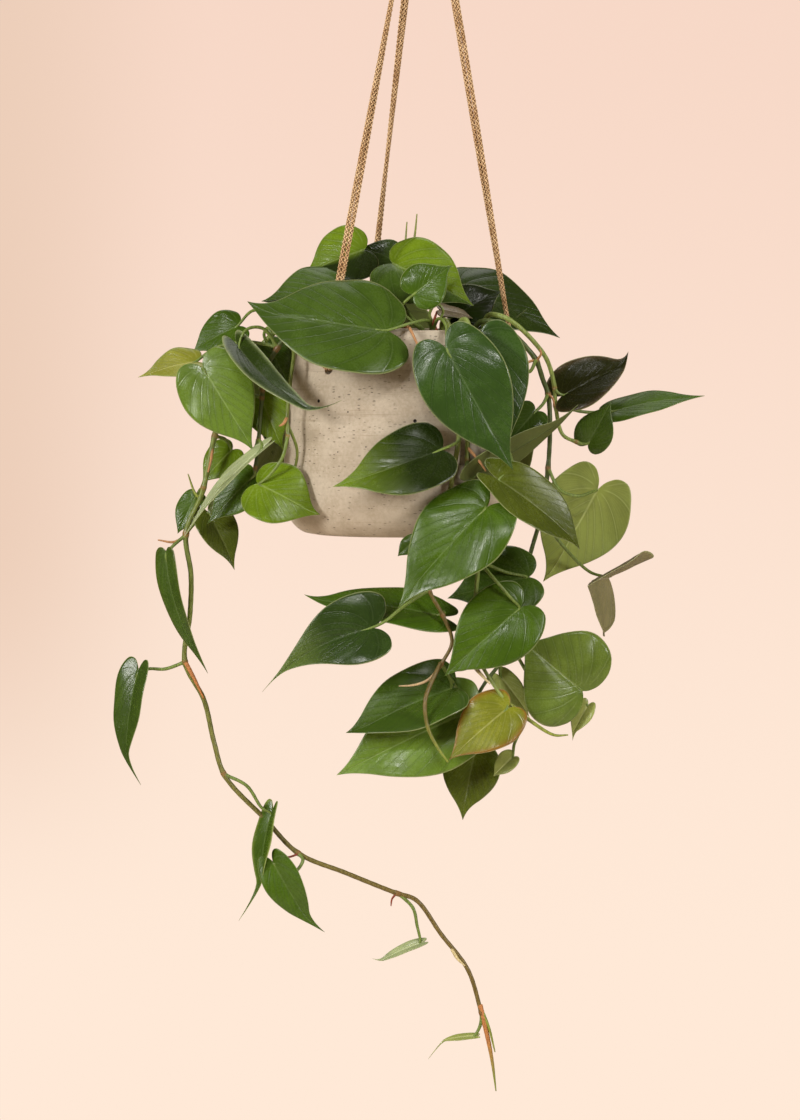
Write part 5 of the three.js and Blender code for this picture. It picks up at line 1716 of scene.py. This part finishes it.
# %% Dark stem at the right
leafy_piece("vine_right", [*standing(46, -12), (477, 325, -28), (485, 321, -35), (500, 324, -41),
             (512, 333, -40), (526, 347, -36), (536, 360, -34), (543, 380, -30), (548, 394, -28),
             (550, 425, -28), (548, 468, -28), (542, 512, -30), (529, 560, -32), (520, 620, -36),
             (512, 647, -38), (485, 683, -42), (471, 707, -44)], [
    leaf((479, 335, -82), (506, 448, -84), 56, (8, 8), [(536, 360, -34), (528, 372, -56),
         (508, 362, -72), (488, 344, -77)], "forest", lobe=0.7, tail=(1, 4)),
    leaf((535, 412, -42), (509, 442, -48), 27, (0, 15), [(548, 394, -28), (543, 404, -36)], "mid"),
    leaf((598, 489, -12), (549, 577, -16), 62, (172, 5), [(548, 468, -28), (560, 490, -32),
         (577, 496, -30), (592, 492, -20)], "light", lobe=1.35, tail=(-5, 3)),
    leaf((608, 577, -4), (588, 586, -56), 82, (-70, 22), [(541, 516, -30), (563, 546, -26),
         (590, 572, -14)], "grey", fold=-35, cup=0),
    leaf((582, 691, -36), (524, 643, -44), 74, (0, 12), [(512, 647, -38), (540, 688, -24),
         (572, 698, -30)], "matte"),
    leaf((588, 705, -26), (572, 735, -28), 16, (0, 30), [(550, 693, -26), (575, 702, -25)],
         "pale", fold=30, tail=(1, 5)),
    leaf((500, 676, -34), (528, 714, -36), 18, (10, 20), [(504, 658, -39), (500, 668, -36)],
         "pale", fold=24, tail=(1, 3)),
    leaf((475, 752, -46), (462, 814, -50), 40, (0, 14), [(472, 704, -44), (476, 730, -44)],
         "olive", tail=(1, 5)),
], branches=[
    ([(516, 337, -40), (508, 332, -44), (503, 337, -46)], 1.5, 0.5, "red sheath"),
    ([(536, 360, -34), (529, 362, -38), (524, 367, -39)], 1, 0.4, "root"),
    ([(537, 360, -35), (541, 354, -38), (540, 349, -39)], 0.9, 0.4, "root"),
    ([(548, 394, -29), (553, 399, -32), (554, 406, -33)], 0.9, 0.4, "root"),
], stem_tone="dark stem")

# %% [markdown]
# The last stem is a light one that carries the three leaves furthest to the right.

# %% Light stem at the right
leafy_piece("vine_right_short", [*standing(54, 4), (487, 317, -16), (497, 315, -27),
             (508, 319, -30), (519, 327, -28), (535, 343, -24), (547, 360, -19), (554, 384, -15),
             (556, 409, -12), (563, 435, -10), (579, 443, -10)], [
    leaf((588, 444, -10), (610, 405, -14), 27, (0, 10), [(576, 442, -10), (583, 444, -10)], "mid",
         tail=(1, -3)),
    leaf((562, 396, -14), (632, 362, -8), 38, (0, 25), [(554, 388, -15), (557, 392, -15)],
         "umber", fold=26, tail=(-5, -10), rim="brown"),
    leaf((612, 412, 4), (697, 398, 6), 25, (0, 50), [(556, 405, -12), (585, 412, 2)], "bright",
         tail=(6, -2)),
], stem_tone="light stem")

# %% [markdown]
# ## Three stems behind the pot
# The photograph shows no back, but such a plant hangs down all round. Three stems behind the
# pot follow one rule with a draw of numbers from a fixed seed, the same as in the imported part.

# %% The rule for the back stems
BACK_STEMS = [
    ("vine_back_right", 57, (22, 34), 96, ("mid", "deep", "mid", "fresh")),
    ("vine_back_middle", 99, (2, 44), 84, ("deep", "cool", "mid", "bright")),
    ("vine_back_left", 140, (-28, 34), 84, ("cool", "mid", "olive", "mid")),
]
BACK_BEND_DEPTH = 22
draw_state = 7


def between(low, high):
    """The next number of an even draw, alike on every run."""
    global draw_state
    draw_state = (draw_state * 16807) % 2147483647
    return low + (high - low) * draw_state / 2147483647


def back_stem(azimuth, root, drop, tones):
    """The route and the leaves, one for each tone, of a stem that hangs behind the pot."""
    out, across = radial(azimuth), radial(azimuth + 90)

    def at(distance, aside, z):
        return out * distance + across * aside + POT_AXIS + UP * z

    route = [*standing(*root), at(56, 0, RIM_Z + 4), at(68, 0, RIM_Z + 7), at(78, 1, RIM_Z),
             at(84, 0, RIM_Z - BACK_BEND_DEPTH)]
    steps = round(drop / 30)
    for i in range(1, steps + 1):
        distance = 88 + between(-1, 2)
        depth = BACK_BEND_DEPTH + (drop - BACK_BEND_DEPTH) * i / steps
        route.append(at(distance, between(-4, 4), RIM_Z - depth))
    leaves, count = [], len(tones)
    for i, tone in enumerate(tones):
        node = along_curve(route, [0.5 + 0.48 * i / (count - 1)])[0]
        side = 1 if i % 2 else -1
        length = between(52, 74) * (1 - 0.12 * i / count)
        joint = node + out * between(14, 20)
        joint = joint + across * side * between(8, 14) + UP * between(2, 8)
        tip = joint + out * between(2, 12)
        tip = tip + across * side * between(4, 16) - UP * length
        bend = node + (joint - node) * 0.55 + UP * 5
        look = azimuth + 90 + side * between(0, 20)
        width = length * between(0.74, 0.86)
        leaves.append(leaf(joint, tip, width, (look, between(15, 35)), [node, bend], tone))
    return route, leaves


for name, *numbers in BACK_STEMS:
    leafy_piece(name, *back_stem(*numbers))

# %% [markdown]
# ## Floor, light and background
# The plant hangs free before a plain, warm, pale background. A floor lies far below it, out of
# the picture. Two large soft boxes in front, one from each side, give the soft shadows that
# fall both ways over the pot. A small one between them brightens the front, one above lifts
# the tops, and one behind lights the rims of the leaves. What the camera sees behind the plant
# is a colour of the world with painted shade, darker towards the top and with a painted shadow
# at the left, while the light that the world gives is weak and warm.

# %% Floor
FLOOR_Z = -1300
FLOOR_RADIUS = 1900
FLOOR_THICKNESS = 20
floor_profile = [(0, FLOOR_Z - FLOOR_THICKNESS), (FLOOR_RADIUS, FLOOR_Z - FLOOR_THICKNESS),
                 (FLOOR_RADIUS, FLOOR_Z), (0, FLOOR_Z)]
floor = mesh_object("floor", *lathe_points(floor_profile, 64), smooth=False)
dressed(floor, grained("pale floor", 0.8, 40.0, (232, 214, 198), (240, 224, 208))[0])
floor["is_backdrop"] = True
print("the floor lies at", FLOOR_Z, "mm")

# %% Soft boxes
LIT_PLACE = (-0.017, 0, -0.5)


def soft_box(name, place, size, power, colour):
    """An area light that looks at the plant. Places and sizes are in metres."""
    data = bpy.data.lights.new(name, "AREA")
    data.shape = "RECTANGLE"
    data.size, data.size_y = size
    data.energy = power
    data.color = colour
    made = in_scene(name, data)
    made.location = place
    aim = Vector(LIT_PLACE) - Vector(place)
    made.rotation_euler = aim.to_track_quat("-Z", "Y").to_euler()
    return made


soft_box("left box", (-2.1, -2.0, 0.35), (0.7, 1.0), 62, (1.0, 0.98, 0.95))
soft_box("right box", (2.3, -1.7, 0.5), (0.7, 1.0), 48, (1.0, 0.98, 0.95))
soft_box("top box", (0.1, 0.5, 1.3), (1.1, 0.9), 8, (1.0, 0.98, 0.96))
soft_box("front box", (-0.35, -2.1, 1.0), (0.3, 0.3), 14, (1.0, 0.98, 0.96))
soft_box("back box", (-0.3, 2.8, 0.9), (1.0, 1.0), 26, (1.0, 0.98, 0.96)).visible_glossy = False

# %% Background
def background():
    made = bpy.data.worlds.new("studio")
    made.use_nodes = True
    tree = made.node_tree
    tree.nodes.clear()
    seen_by_camera = tree.nodes.new("ShaderNodeLightPath").outputs["Is Camera Ray"]
    heading = tree.nodes.new("ShaderNodeTexCoord").outputs["Generated"]
    across, _, up = added(tree, "ShaderNodeSeparateXYZ", Vector=heading).outputs
    # Painted shade: the backdrop darkens towards the top.
    colour = blended(tree, ramp(tree, up, 0.06, -0.13), srgb(247, 216, 199),
                     srgb(255, 233, 215))
    # Painted shadow on the backdrop, at its left.
    left = times(tree, ramp(tree, across, -0.03, -0.075), ramp(tree, up, -0.12, -0.04))
    colour = blended(tree, left, colour, srgb(236, 206, 185))
    backdrop = added(tree, "ShaderNodeBackground", Color=colour, Strength=1.0).outputs[0]
    fill = added(tree, "ShaderNodeBackground", Color=srgb(255, 222, 176),
                 Strength=0.16).outputs[0]
    chosen = tree.nodes.new("ShaderNodeMixShader")
    for plug, value in zip(chosen.inputs, (seen_by_camera, fill, backdrop)):
        tree.links.new(value, plug)
    added(tree, "ShaderNodeOutputWorld", Surface=chosen.outputs[0])
    bpy.context.scene.world = made


background()
bpy.context.scene.view_settings.view_transform = "Standard"
print("view transform:", bpy.context.scene.view_settings.view_transform)

# %% [markdown]
# ## Sizes and the end
# The box of the dressed plant is set beside that of the imported one, and how far they
# differ is printed. The dressed plant has to stay as large as the imported one.

# %% Sizes
visual_box = [list(corner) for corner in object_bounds()]
growth = [[round((v - c) / MM, 1) for c, v in zip(a, b)] for a, b in zip(cad_box, visual_box)]
print("the dressed box differs from the packed one, in mm, by", growth)
